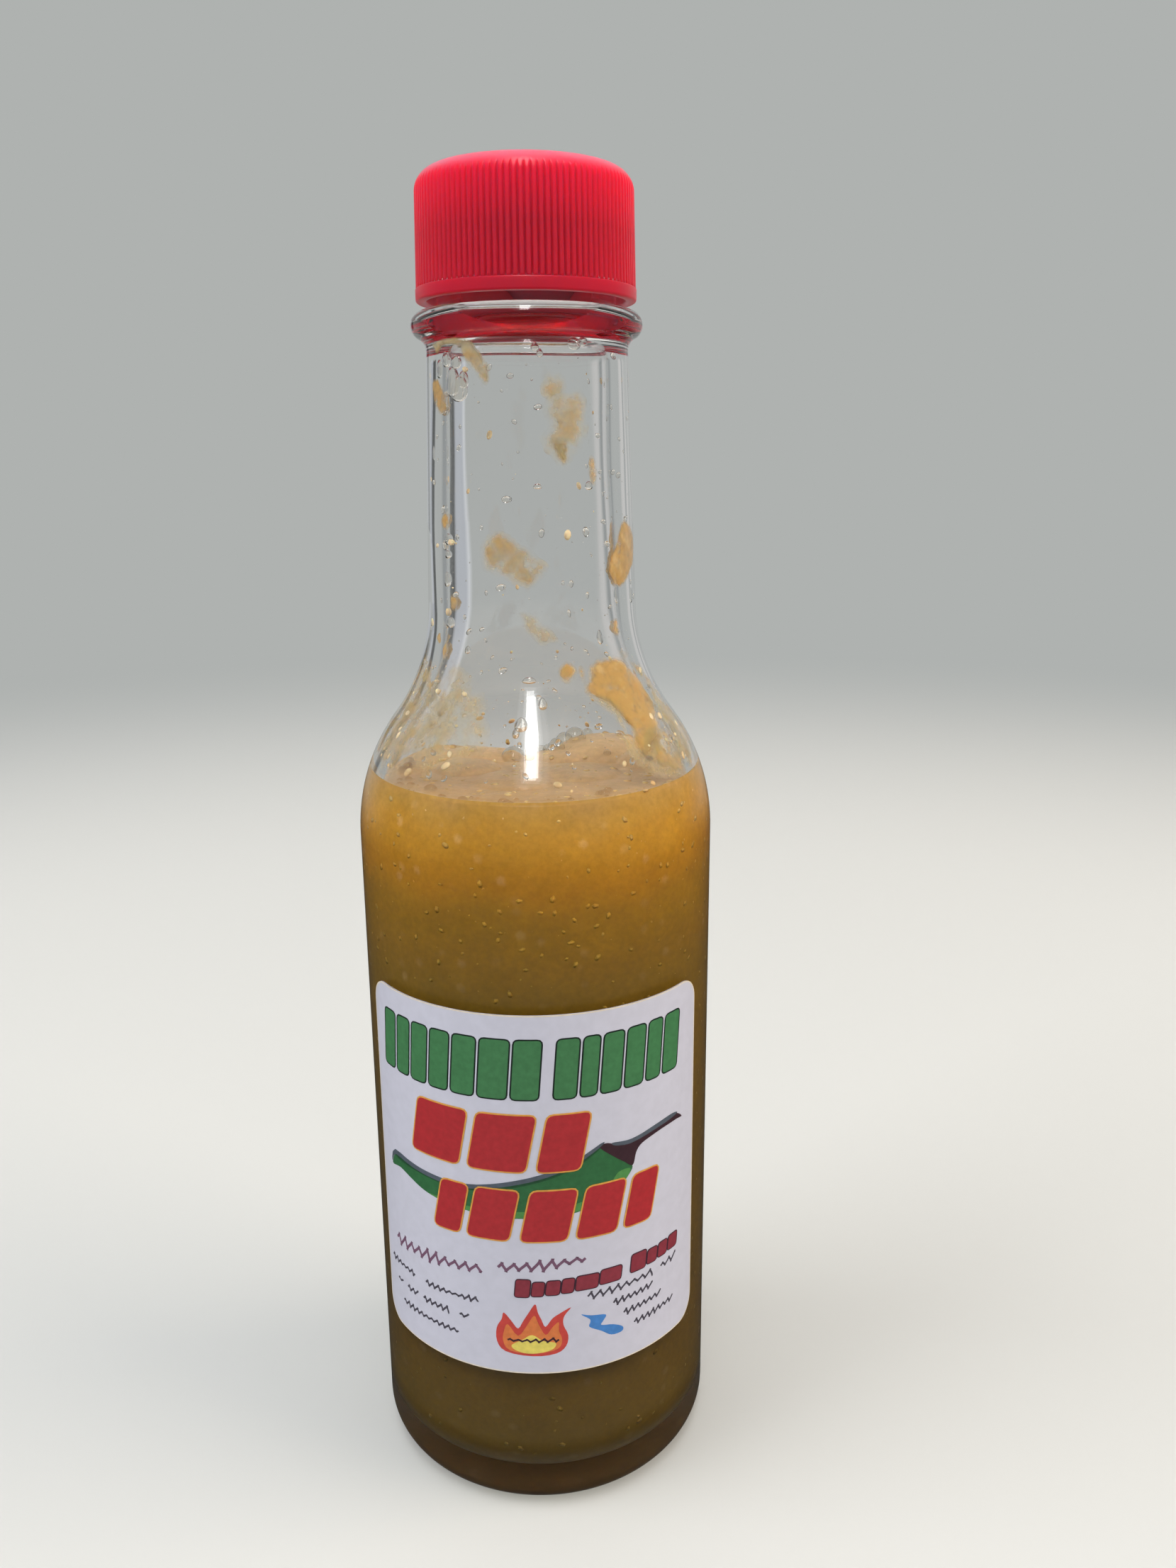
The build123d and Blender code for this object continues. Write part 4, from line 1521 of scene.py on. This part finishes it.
def block(left: float, right: float, low: float, high: float, lean: float, size: float) -> np.ndarray:
    """Outline of a leaning block with rounded corners.

    Args:
        left: Left end at half height.
        right: Right end at half height.
        low: Lower edge.
        high: Upper edge.
        lean: How far the upper edge leans to the right of the lower one.
        size: Rounding of its corners.

    Returns:
        The outline.
    """
    half = lean / 2
    return eased([(left - half, low), (right - half, low), (right + half, high), (left + half, high)], size)


@dataclass
class FilmLabel:
    """A rounded square of white film with a print of plain shapes, bent round the body."""

    radius: float
    low: float
    high: float
    width: float = 50.3
    thickness: float = 0.15
    corner: float = 3.2
    spacing: float = 0.85
    ink_lift: float = 0.008
    ink_step: float = 0.012
    ink_root: float = 0.04
    film: PlainFinish = PlainFinish("white_film", "#B4B4C1", 0.42, 0.03, 1.4)

    def __post_init__(self) -> None:
        """Start with no print."""
        self.inks: dict[Ink, Shells] = {ink: Shells() for ink in Ink}
        self.middle = (self.low + self.high) / 2

    def bend(self, flat: np.ndarray, lift: float) -> np.ndarray:
        """Bend flat places round the body; the lift is measured from the bare glass."""
        body = self.radius - self.thickness
        return around(np.degrees(flat[:, 0] / body), np.full(len(flat), body + lift), flat[:, 1])

    def lay(self, ink: Ink, patch: Patch) -> None:
        """Print one patch: upper inks stand a hair higher, and each reaches into the film."""
        level = self.thickness + self.ink_lift + self.ink_step * ink.value[2]
        place = patch.flat + [0.0, self.middle]
        points, faces = patch.solid(self.bend(place, level),
            self.bend(place, self.thickness - self.ink_root))
        self.inks[ink].add(points, faces)

    def shape(self, ink: Ink, outline: np.ndarray, rim: Ink | None = None, rim_width: float = 0.0) -> None:
        """Print a filled outline, with a rim of another ink round it."""
        if rim:
            self.lay(rim, Patch.fill(grown(outline, rim_width), self.spacing))
        self.lay(ink, Patch.fill(outline, self.spacing))

    def blot(self, ink: Ink, points: Sequence[Point2], steps: int = 4) -> None:
        """Print a smooth closed form through the points."""
        self.lay(ink, Patch.fill(smooth_loop(points, steps), self.spacing))

    def scrawl(self, ink: Ink, start: Point2, end: Point2, tall: float, pitch: float, width: float,
            seed: float) -> None:
        """Print a wavy stroke that stands for a word.

        Args:
            ink: Its ink.
            start: Left end of its middle line.
            end: Right end of its middle line.
            tall: Height of the waves.
            pitch: Length of a wave.
            width: Width of the stroke.
            seed: Where its irregularity starts.
        """
        length = math.dist(start, end)
        t = np.arange(0, length, pitch / 14)
        along = (np.array(end) - start) / length
        up = np.array([-along[1], along[0]])
        swing = np.array([0.62 + 0.55 * noise.noise((x / pitch * 0.45, seed, 0.3)) for x in t])
        wave = np.sin(2 * math.pi * t / pitch) * swing * tall / 2
        slant = wave * 0.35 + 0.12 * pitch * np.sin(4 * math.pi * t / pitch)
        self.lay(ink, strip(np.array(start) + t[:, None] * along + slant[:, None] * along
            + wave[:, None] * up, width))

    def title(self) -> None:
        """A green band of leaning blocks with dark rims, in two groups."""
        for left, right in ((-22.2, -19.8), (-19.2, -16.9), (-16.3, -13.8), (-13.2, -10.5), (-9.9, -6.9),
                (-6.3, -2.7), (-2.1, 1.2), (3.1, 5.8), (6.4, 8.4), (9.0, 11.6), (12.2, 14.8),
                (15.4, 17.6), (18.2, 20.9)):
            self.shape(Ink.TITLE, block(left, right, 14.1, 21.9, 0.6, 0.55), Ink.TITLE_RIM, 0.2)

    def red_rows(self) -> None:
        """Two rows of leaning red blocks with amber rims."""
        for left, right, low, high in ((-16.2, -8.8, 4.2, 11.9), (-7.5, -0.1, 4.2, 11.9),
                (1.3, 6.7, 4.2, 11.9), (-12.8, -9.0, -5.6, 1.5),
                (-7.9, -2.4, -5.6, 1.5), (-0.9, 4.9, -5.6, 1.5),
                (6.1, 11.4, -5.6, 1.5), (12.5, 16.6, -5.6, 1.5)):
            self.shape(Ink.RED, block(left, right, low, high, 1.5, 0.8), Ink.RED_RIM, 0.2)

    def pod(self) -> None:
        """A long green pepper that curves across the label, with its cap and stalk."""
        self.blot(Ink.POD, [(-22.1, -0.5), (-21.0, 1.6), (-19.3, 1.8), (-16, 1.3), (-12.7, 1.1),
            (-9.3, 1.2), (-6, 1.6), (-2.7, 2.5), (0.7, 3.4), (4, 4.5), (6, 5.4), (7.4, 6.4), (8.6, 6.9),
            (9.6, 6.6), (11.0, 5.0), (13.0, 3.1), (12.6, 1.9), (11.2, 0.6), (8.7, -0.4), (6, -1.7),
            (4, -2.0), (0.7, -2.3), (-4.3, -2.4), (-7.3, -2.3), (-10, -2.0), (-12.7, -1.8), (-15.3, -1.4),
            (-17.7, -0.7), (-20, -0.2)])
        self.blot(Ink.POD_DARK, [(-21.2, 1.5), (-16, 1.4), (-9.3, 1.3), (-2.7, 2.6), (4, 4.6), (8.6, 7.1),
            (8.3, 6.3), (4.2, 3.9), (-2.5, 1.9), (-9.3, 0.7), (-16, 0.8), (-20.6, 0.9)])
        self.blot(Ink.POD_LIGHT, [(12.7, 2.7), (12.4, 1.7), (11.0, 0.5), (8.6, -0.5), (6.0, -1.6),
            (0.7, -2.2), (-7.3, -2.2), (-14.5, -1.5), (-7.3, -1.5), (0.7, -1.3), (6.4, -0.4), (9.6, 1.0),
            (11.0, 2.6)])
        self.blot(Ink.POD_SHADE, [(-22.2, -0.2), (-21.2, 1.9), (-16, 1.6), (-9.3, 1.5), (-2.7, 2.8),
            (4, 4.8), (8.6, 7.2), (8.6, 6.8), (4, 4.2), (-2.7, 2.2), (-9.3, 0.9), (-16, 1.0), (-20.9, 1.3)],
            3)
        self.blot(Ink.STALK, [(8.4, 6.8), (9.4, 7.1), (10.4, 6.8), (12.3, 6.5), (14, 6.7), (16.7, 7.2),
            (19.6, 7.5), (20.9, 7.3), (22.0, 6.4), (20.6, 6.5), (18, 6.4), (15.7, 6.0), (14.3, 5.5),
            (13.6, 4.6), (13.1, 3.0), (11.8, 3.9), (10.4, 5.0)])
        self.blot(Ink.POD_SHADE, [(10.2, 6.95), (12.3, 6.75), (14, 6.9), (16.7, 7.4), (19.6, 7.7),
            (21.0, 7.4), (19.6, 7.1), (16.7, 6.8), (14, 6.35), (12.3, 6.2), (10.6, 6.5)])

    def flame(self) -> None:
        """A three-tongued flame with an orange middle and a yellow core."""
        self.blot(Ink.FLAME_OUT, [(-3.9, -22.0), (-5.0, -20.6), (-5.0, -18.6), (-4.3, -17.2), (-4.0, -16.2),
            (-3.0, -17.4), (-2.2, -18.4), (-1.5, -17.2), (-0.8, -16.0), (0.05, -14.7),
            (0.35, -15.9), (0.8, -17.0), (1.3, -18.1), (2.2, -16.9), (3.2, -16.2), (4.6, -15.5),
            (3.7, -16.7), (3.6, -18.0), (4.2, -19.6), (3.9, -21.2), (2.6, -22.2), (-0.4, -22.5)], 3)
        self.blot(Ink.FLAME_MID, [(-3.3, -21.8), (-4.2, -20.4), (-4.0, -18.8), (-3.5, -17.9), (-2.2, -19.5),
            (-1.0, -17.8), (-0.1, -16.4), (0.4, -17.6), (1.3, -19.3), (2.2, -18.2), (3.0, -17.5),
            (3.0, -18.8), (3.4, -20.2), (2.8, -21.5), (0, -22.1)], 3)
        self.blot(Ink.FLAME_CORE, [(-3.1, -21.0), (-1.6, -20.0), (-0.4, -19.3), (1.0, -20.2), (2.6, -20.6),
            (2.0, -21.6), (-0.4, -22.1), (-2.3, -21.8)])
        self.scrawl(Ink.MAROON_RIM, (-3.6, -20.2), (3.0, -20.1), 0.9, 1.1, 0.24, 9.0)

    def small_print(self) -> None:
        """Wavy strokes and small blocks where small print stands, and a blue swoosh."""
        self.scrawl(Ink.PLUM, (-21.9, -11.6), (-6.5, -10.2), 2.3, 1.55, 0.36, 1.0)
        self.scrawl(Ink.PLUM, (-4.6, -9.6), (6.6, -8.6), 2.4, 1.6, 0.38, 2.0)
        rise = 0.07
        for left, right in ((-2.4, -0.6), (-0.3, 1.2), (1.5, 3.2), (3.5, 5.0), (5.3, 8.2), (8.5, 11.4),
                (12.9, 15.2), (15.5, 17.1), (17.4, 19.0), (19.3, 21.1)):
            low = -13.5 + rise * left
            high = low + (2.5 if left in (-2.4, 12.9) else 2.0)
            self.shape(Ink.MAROON, block(left, right, low, high, 0.25, 0.35), Ink.MAROON_RIM, 0.14)
        for start, end, tall in (((6.8, -14.3), (16.6, -13.9), 1.7), ((17.9, -13.9), (21.0, -13.6), 1.7),
                ((10.3, -16.2), (16.4, -15.8), 1.3), ((11.8, -18.2), (17.8, -17.8), 1.3),
                ((13.4, -20.3), (20.2, -19.9), 1.2), ((-23.6, -15.3), (-17.9, -15.2), 1.2),
                ((-15.7, -15.3), (-7.4, -15.0), 1.2), ((-22.2, -18.1), (-21.0, -18.0), 1.2),
                ((-19.7, -18.1), (-17.4, -18.0), 1.2), ((-16.3, -18.0), (-11.7, -17.9), 1.2),
                ((-10.2, -17.9), (-8.8, -17.9), 1.1), ((-20.9, -20.8), (-10.4, -20.6), 1.1)):
            self.scrawl(Ink.GREY, start, end, tall, 0.95 if tall < 1.5 else 1.25, 0.27, start[0] + start[1])
        self.blot(Ink.BLUE, [(5.9, -16.8), (7.2, -17.2), (9.2, -17.6), (8.8, -18.5), (8.6, -19.0),
            (10.2, -19.4), (11.6, -20.2), (11.5, -20.9), (10.0, -20.9), (8.6, -19.9), (7.0, -18.9),
            (7.1, -18.2), (7.0, -17.7)])

    def build(self) -> None:
        """Make the film, its cut edge and one piece for each ink."""
        half_wide, half_tall = self.width / 2, (self.high - self.low) / 2
        corners = [(-half_wide, -half_tall), (half_wide, -half_tall), (half_wide, half_tall),
            (-half_wide, half_tall)]
        outline = np.concatenate([
            np.array(arc((x - math.copysign(self.corner, x), y - math.copysign(self.corner, y)),
            self.corner, 180 + 90 * i, 90, 10)) for i, (x, y) in enumerate(corners)])
        patch = Patch.fill(outline, self.spacing)
        place = patch.flat + [0.0, self.middle]
        points, faces = patch.solid(self.bend(place, self.thickness), self.bend(place, 0.0))
        film = mesh_object("label_film", points * MM, faces, self.film.build())
        film.data.set_sharp_from_angle(angle=math.radians(40))
        seat(film, "film_label", "label")
        border = grown(outline, -0.07)
        self.lay(Ink.BORDER, strip(np.concatenate([run(tuple(a), tuple(b), self.spacing)[:-1] for a, b
            in zip(border, np.roll(border, -1, 0))]), 0.14, True))
        self.title()
        self.pod()
        self.red_rows()
        self.flame()
        self.small_print()
        for ink, shells in self.inks.items():
            name, colour, _ = ink.value
            piece = shells.build("print_" + name.removeprefix("ink_"),
                PlainFinish(name, colour, 0.4, 0.10, 0.7).build())
            piece.data.set_sharp_from_angle(angle=math.radians(40))
            seat(piece, "film_label", "label")


# --- Stage, lamps and camera ---


@dataclass(frozen=True)
class Studio:
    """Plain pale floor and backdrop, soft lamps and the camera."""

    backdrop: str = "#AFB2B0"
    floor_colour: str = "#BCBDBB"
    floor_radius: float = 3.0
    fade_from: float = 0.25
    fade_to: float = 0.75
    surround: float = 0.58
    mirror_share: float = 0.16
    glass_height: float = 0.11
    lamp_aim: float = 0.1
    lens: float = 28.251
    camera_place: tuple[float, float, float] = (9.404, -157.445, 136.259)
    camera_turn: float = 0.9
    camera_dip: float = 14.797
    camera_roll: float = -0.456

    def bands(self, tree: bpy.types.NodeTree, way: bpy.types.NodeSocket) -> bpy.types.NodeSocket:
        """Colour of the surroundings by compass heading: plain, with upright bands beside the bottle.

        Args:
            tree: The tree that the nodes go into.
            way: The direction that is looked in.

        Returns:
            The socket that gives the colour.
        """
        split = add_node(tree, "ShaderNodeSeparateXYZ", {0: way})
        heading = add_node(tree, "ShaderNodeMath", {0: split["X"], 1: split["Y"]}, operation="ARCTAN2")
        share = add_node(tree, "ShaderNodeMapRange", {"Value": heading[0], "From Min": -math.pi,
            "From Max": math.pi})
        plain, dark, soft, cool, white = self.backdrop, "#282A2C", "#505354", "#B6BAC1", "#D6D9DC"
        pale, grey = "#C9C8C6", "#949898"
        ramp = add_node(tree, "ShaderNodeValToRGB", {"Fac": share[0]}, stops=[
            (0.0, plain), (1.0, plain), (0.320, plain), (0.330, grey), (0.345, grey), (0.356, plain),
            (0.402, plain), (0.405, soft), (0.408, soft), (0.4105, dark), (0.428, dark), (0.431, cool),
            (0.4525, cool), (0.4532, white), (0.4542, white), (0.455, plain),
            (0.530, plain), (0.536, pale), (0.545, pale), (0.549, grey), (0.556, grey), (0.562, pale),
            (0.580, pale), (0.590, plain), (0.640, plain), (0.650, grey), (0.670, grey),
            (0.680, plain)])
        steep = add_node(tree, "ShaderNodeMath", {0: split["Z"]}, operation="ABSOLUTE")
        fade = add_node(tree, "ShaderNodeMapRange", {"Value": steep[0], "From Min": 0.13, "From Max": 0.19})
        return add_node(tree, "ShaderNodeMix", {0: fade[0], 6: ramp[0],
            7: linear(plain)}, data_type="RGBA")[2]

    def ahead(self, tree: bpy.types.NodeTree, way: bpy.types.NodeSocket, low: float,
            high: float) -> bpy.types.NodeSocket:
        """A value that rises from low to high where a direction points at the wall behind the bottle."""
        split = add_node(tree, "ShaderNodeSeparateXYZ", {0: way})
        return add_node(tree, "ShaderNodeMapRange", {"Value": split["Y"], "From Min": 0.2, "From Max": 0.75,
            "To Min": low, "To Max": high})[0]

    def floor(self) -> None:
        """A wide pale disc that takes the shadow and fades into the backdrop."""
        material, tree, shader = new_material("pale_floor", {"Base Color": linear(self.floor_colour),
            "Roughness": 0.85})
        place = add_node(tree, "ShaderNodeTexCoord")["Object"]
        length = add_node(tree, "ShaderNodeVectorMath", {0: place}, operation="LENGTH")
        away = add_node(tree, "ShaderNodeMapRange", {"Value": length["Value"], "From Min": self.fade_from,
            "From Max": self.fade_to}, interpolation_type="SMOOTHSTEP")
        path = add_node(tree, "ShaderNodeLightPath")
        down = add_node(tree, "ShaderNodeVectorMath", {0: place, 1: (0.0, 0.0, self.glass_height)},
            operation="SUBTRACT")
        way = add_node(tree, "ShaderNodeVectorMath", {0: down[0]}, operation="NORMALIZE")
        far = add_node(tree, "ShaderNodeMix", {0: path["Is Transmission Ray"], 6: linear(self.backdrop),
            7: self.bands(tree, way[0])}, data_type="RGBA")
        pale = add_node(tree, "ShaderNodeEmission", {"Color": far[2]})
        mixed = add_node(tree, "ShaderNodeMixShader", {0: away[0], 1: shader.outputs[0], 2: pale[0]})
        mirror = add_node(tree, "ShaderNodeMath", {0: path["Is Glossy Ray"],
            1: path["Is Transmission Ray"]},
            operation="SUBTRACT", use_clamp=True)
        behind = add_node(tree, "ShaderNodeMath", {0: self.ahead(tree, way[0], 0.0, 1.0),
            1: away[0]}, operation="MULTIPLY")
        share = add_node(tree, "ShaderNodeMapRange", {"Value": behind[0], "To Max": 0.9,
            "To Min": self.mirror_share * 0.5})
        dim = add_node(tree, "ShaderNodeEmission", {"Color": linear(self.backdrop), "Strength": share[0]})
        final = add_node(tree, "ShaderNodeMixShader", {0: mirror[0], 1: mixed[0], 2: dim[0]})
        tree.links.new(final[0], tree.nodes["Material Output"].inputs["Surface"])
        rings = [(radius, -0.02) for radius in (self.floor_radius / MM, 800.0, 300.0, 100.0, 20.0, 0.0)]
        lathe("floor", rings, 96, material)

    def world(self) -> None:
        """Even pale surroundings, with narrow dark bands that draw the edges of the glass."""
        world = bpy.data.worlds.new("studio")
        bpy.context.scene.world = world
        world.use_nodes = True
        tree = world.node_tree
        shown = tree.nodes["Background"]
        shown.inputs["Color"].default_value = linear(self.backdrop)
        way = add_node(tree, "ShaderNodeTexCoord")["Generated"]
        bands = self.bands(tree, way)
        seen = add_node(tree, "ShaderNodeBackground", {"Color": bands, "Strength": 1.0})
        lit = add_node(tree, "ShaderNodeBackground", {"Color": linear("#F2F4F5"),
            "Strength": self.surround})
        path = add_node(tree, "ShaderNodeLightPath")
        ahead = self.ahead(tree, way, self.mirror_share, 0.95)
        mirrored = add_node(tree, "ShaderNodeBackground", {"Color": bands, "Strength": ahead})
        gloss = add_node(tree, "ShaderNodeMixShader", {0: path["Is Glossy Ray"], 1: lit[0], 2: mirrored[0]})
        soft = add_node(tree, "ShaderNodeMixShader", {0: path["Is Transmission Ray"],
            1: gloss[0], 2: seen[0]})
        final = add_node(tree, "ShaderNodeMixShader", {0: path["Is Camera Ray"],
            1: soft[0], 2: shown.outputs[0]})
        tree.links.new(final[0], tree.nodes["World Output"].inputs["Surface"])

    def lamp(self, name: str, azimuth: float, elevation: float, distance: float, wide: float,
            tall: float, power: float, mirrored: bool = False, colour: str = "#FFFFFF") -> None:
        """A soft lamp that faces the neck.

        Args:
            name: The lamp's name.
            azimuth: Degrees from -Y towards +X.
            elevation: Degrees above the middle of the bottle.
            distance: Metres from the bottle.
            wide: Width in metres.
            tall: Height in metres.
            power: Watts.
            mirrored: Whether glossy surfaces show it.
            colour: Its colour.
        """
        data = bpy.data.lights.new(name, "AREA")
        data.shape, data.size, data.size_y = "RECTANGLE", wide, tall
        data.energy, data.color = power, linear(colour)[:3]
        obj = bpy.data.objects.new(name, data)
        turn, lift = math.radians(azimuth), math.radians(elevation)
        way = Vector((math.sin(turn) * math.cos(lift), -math.cos(turn) * math.cos(lift), math.sin(lift)))
        obj.location = way * distance + Vector((0, 0, self.lamp_aim))
        obj.rotation_euler = way.to_track_quat("Z", "Y").to_euler()
        obj.visible_glossy = obj.visible_transmission = mirrored
        bpy.context.scene.collection.objects.link(obj)

    def camera(self) -> None:
        """The camera, a little above the shoulder and looking down at the body."""
        data = bpy.data.cameras.new("camera")
        data.sensor_width, data.lens, data.clip_start, data.clip_end = 36.0, self.lens, 0.01, 20.0
        obj = bpy.data.objects.new("camera", data)
        view = Matrix.Translation(Vector(self.camera_place) * MM)
        for angle, axis in ((self.camera_turn, "Z"), (90 - self.camera_dip, "X"), (self.camera_roll, "Z")):
            view = view @ Matrix.Rotation(math.radians(angle), 4, axis)
        obj.matrix_world = view
        bpy.context.scene.collection.objects.link(obj)
        bpy.context.scene.camera = obj

    def build(self) -> None:
        """Set up everything round the bottle."""
        self.floor()
        self.world()
        self.lamp("strip_lamp", 1.0, 56.5, 1.0, 0.13, 0.67, 2.6, True)
        self.lamp("strip_glow", 1.0, 56, 1.05, 0.22, 0.76, 0.8, True)
        self.lamp("strip_halo", 1.0, 55, 1.1, 0.4, 0.9, 0.6, True)
        self.lamp("side_lamp", 82, 30, 1.3, 0.9, 0.9, 15.8, colour="#FFF0DE")
        self.lamp("left_lamp", -72, 36, 1.3, 0.9, 0.9, 11.5)
        self.lamp("top_lamp", -30, 80, 1.3, 1.0, 1.0, 4.6)
        self.camera()
        bpy.context.scene.view_settings.view_transform = "Standard"


def main() -> None:
    """Build every piece, the stage, the lamps and the camera."""
    logging.basicConfig(level=logging.INFO, format="%(name)s: %(message)s")
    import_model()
    bottle_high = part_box("bottle")[1]
    cap_low, cap_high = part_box("cap")
    sauce_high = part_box("sauce")[1]
    label_low, label_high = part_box("label")

    label_radius = -label_low.y / MM
    bottle = GlassBottle(lip=bottle_high.z / MM, body_radius=bottle_high.x / MM)
    glass, clear = FlintGlass().build(), ClearDrop().build()
    sauce, smeared, pulp = PepperSauce().build(), SmearedSauce().build(), PepperPulp().build()
    bottle.build(glass)
    ScrewCap(rim=cap_low.z / MM, top=cap_high.z / MM).build(CapPlastic().build())
    fill = SauceFill(bottle, sauce_high.z / MM)
    fill.build(sauce)
    cling = WallSmears(bottle)
    cling.smears(smeared)
    cling.drops(CLEAR_DROPS, clear)
    bits = LooseBits(bottle, fill)
    bits.droplets(clear)
    bits.paste_specks(pulp)
    bits.pulp(pulp)
    bits.surface_pulp(pulp)
    bits.foam(clear)
    bits.floating_bubbles(clear)
    FilmLabel(label_radius, label_low.z / MM, label_high.z / MM).build()
    Studio().build()


if __name__ == "__main__":
    main()
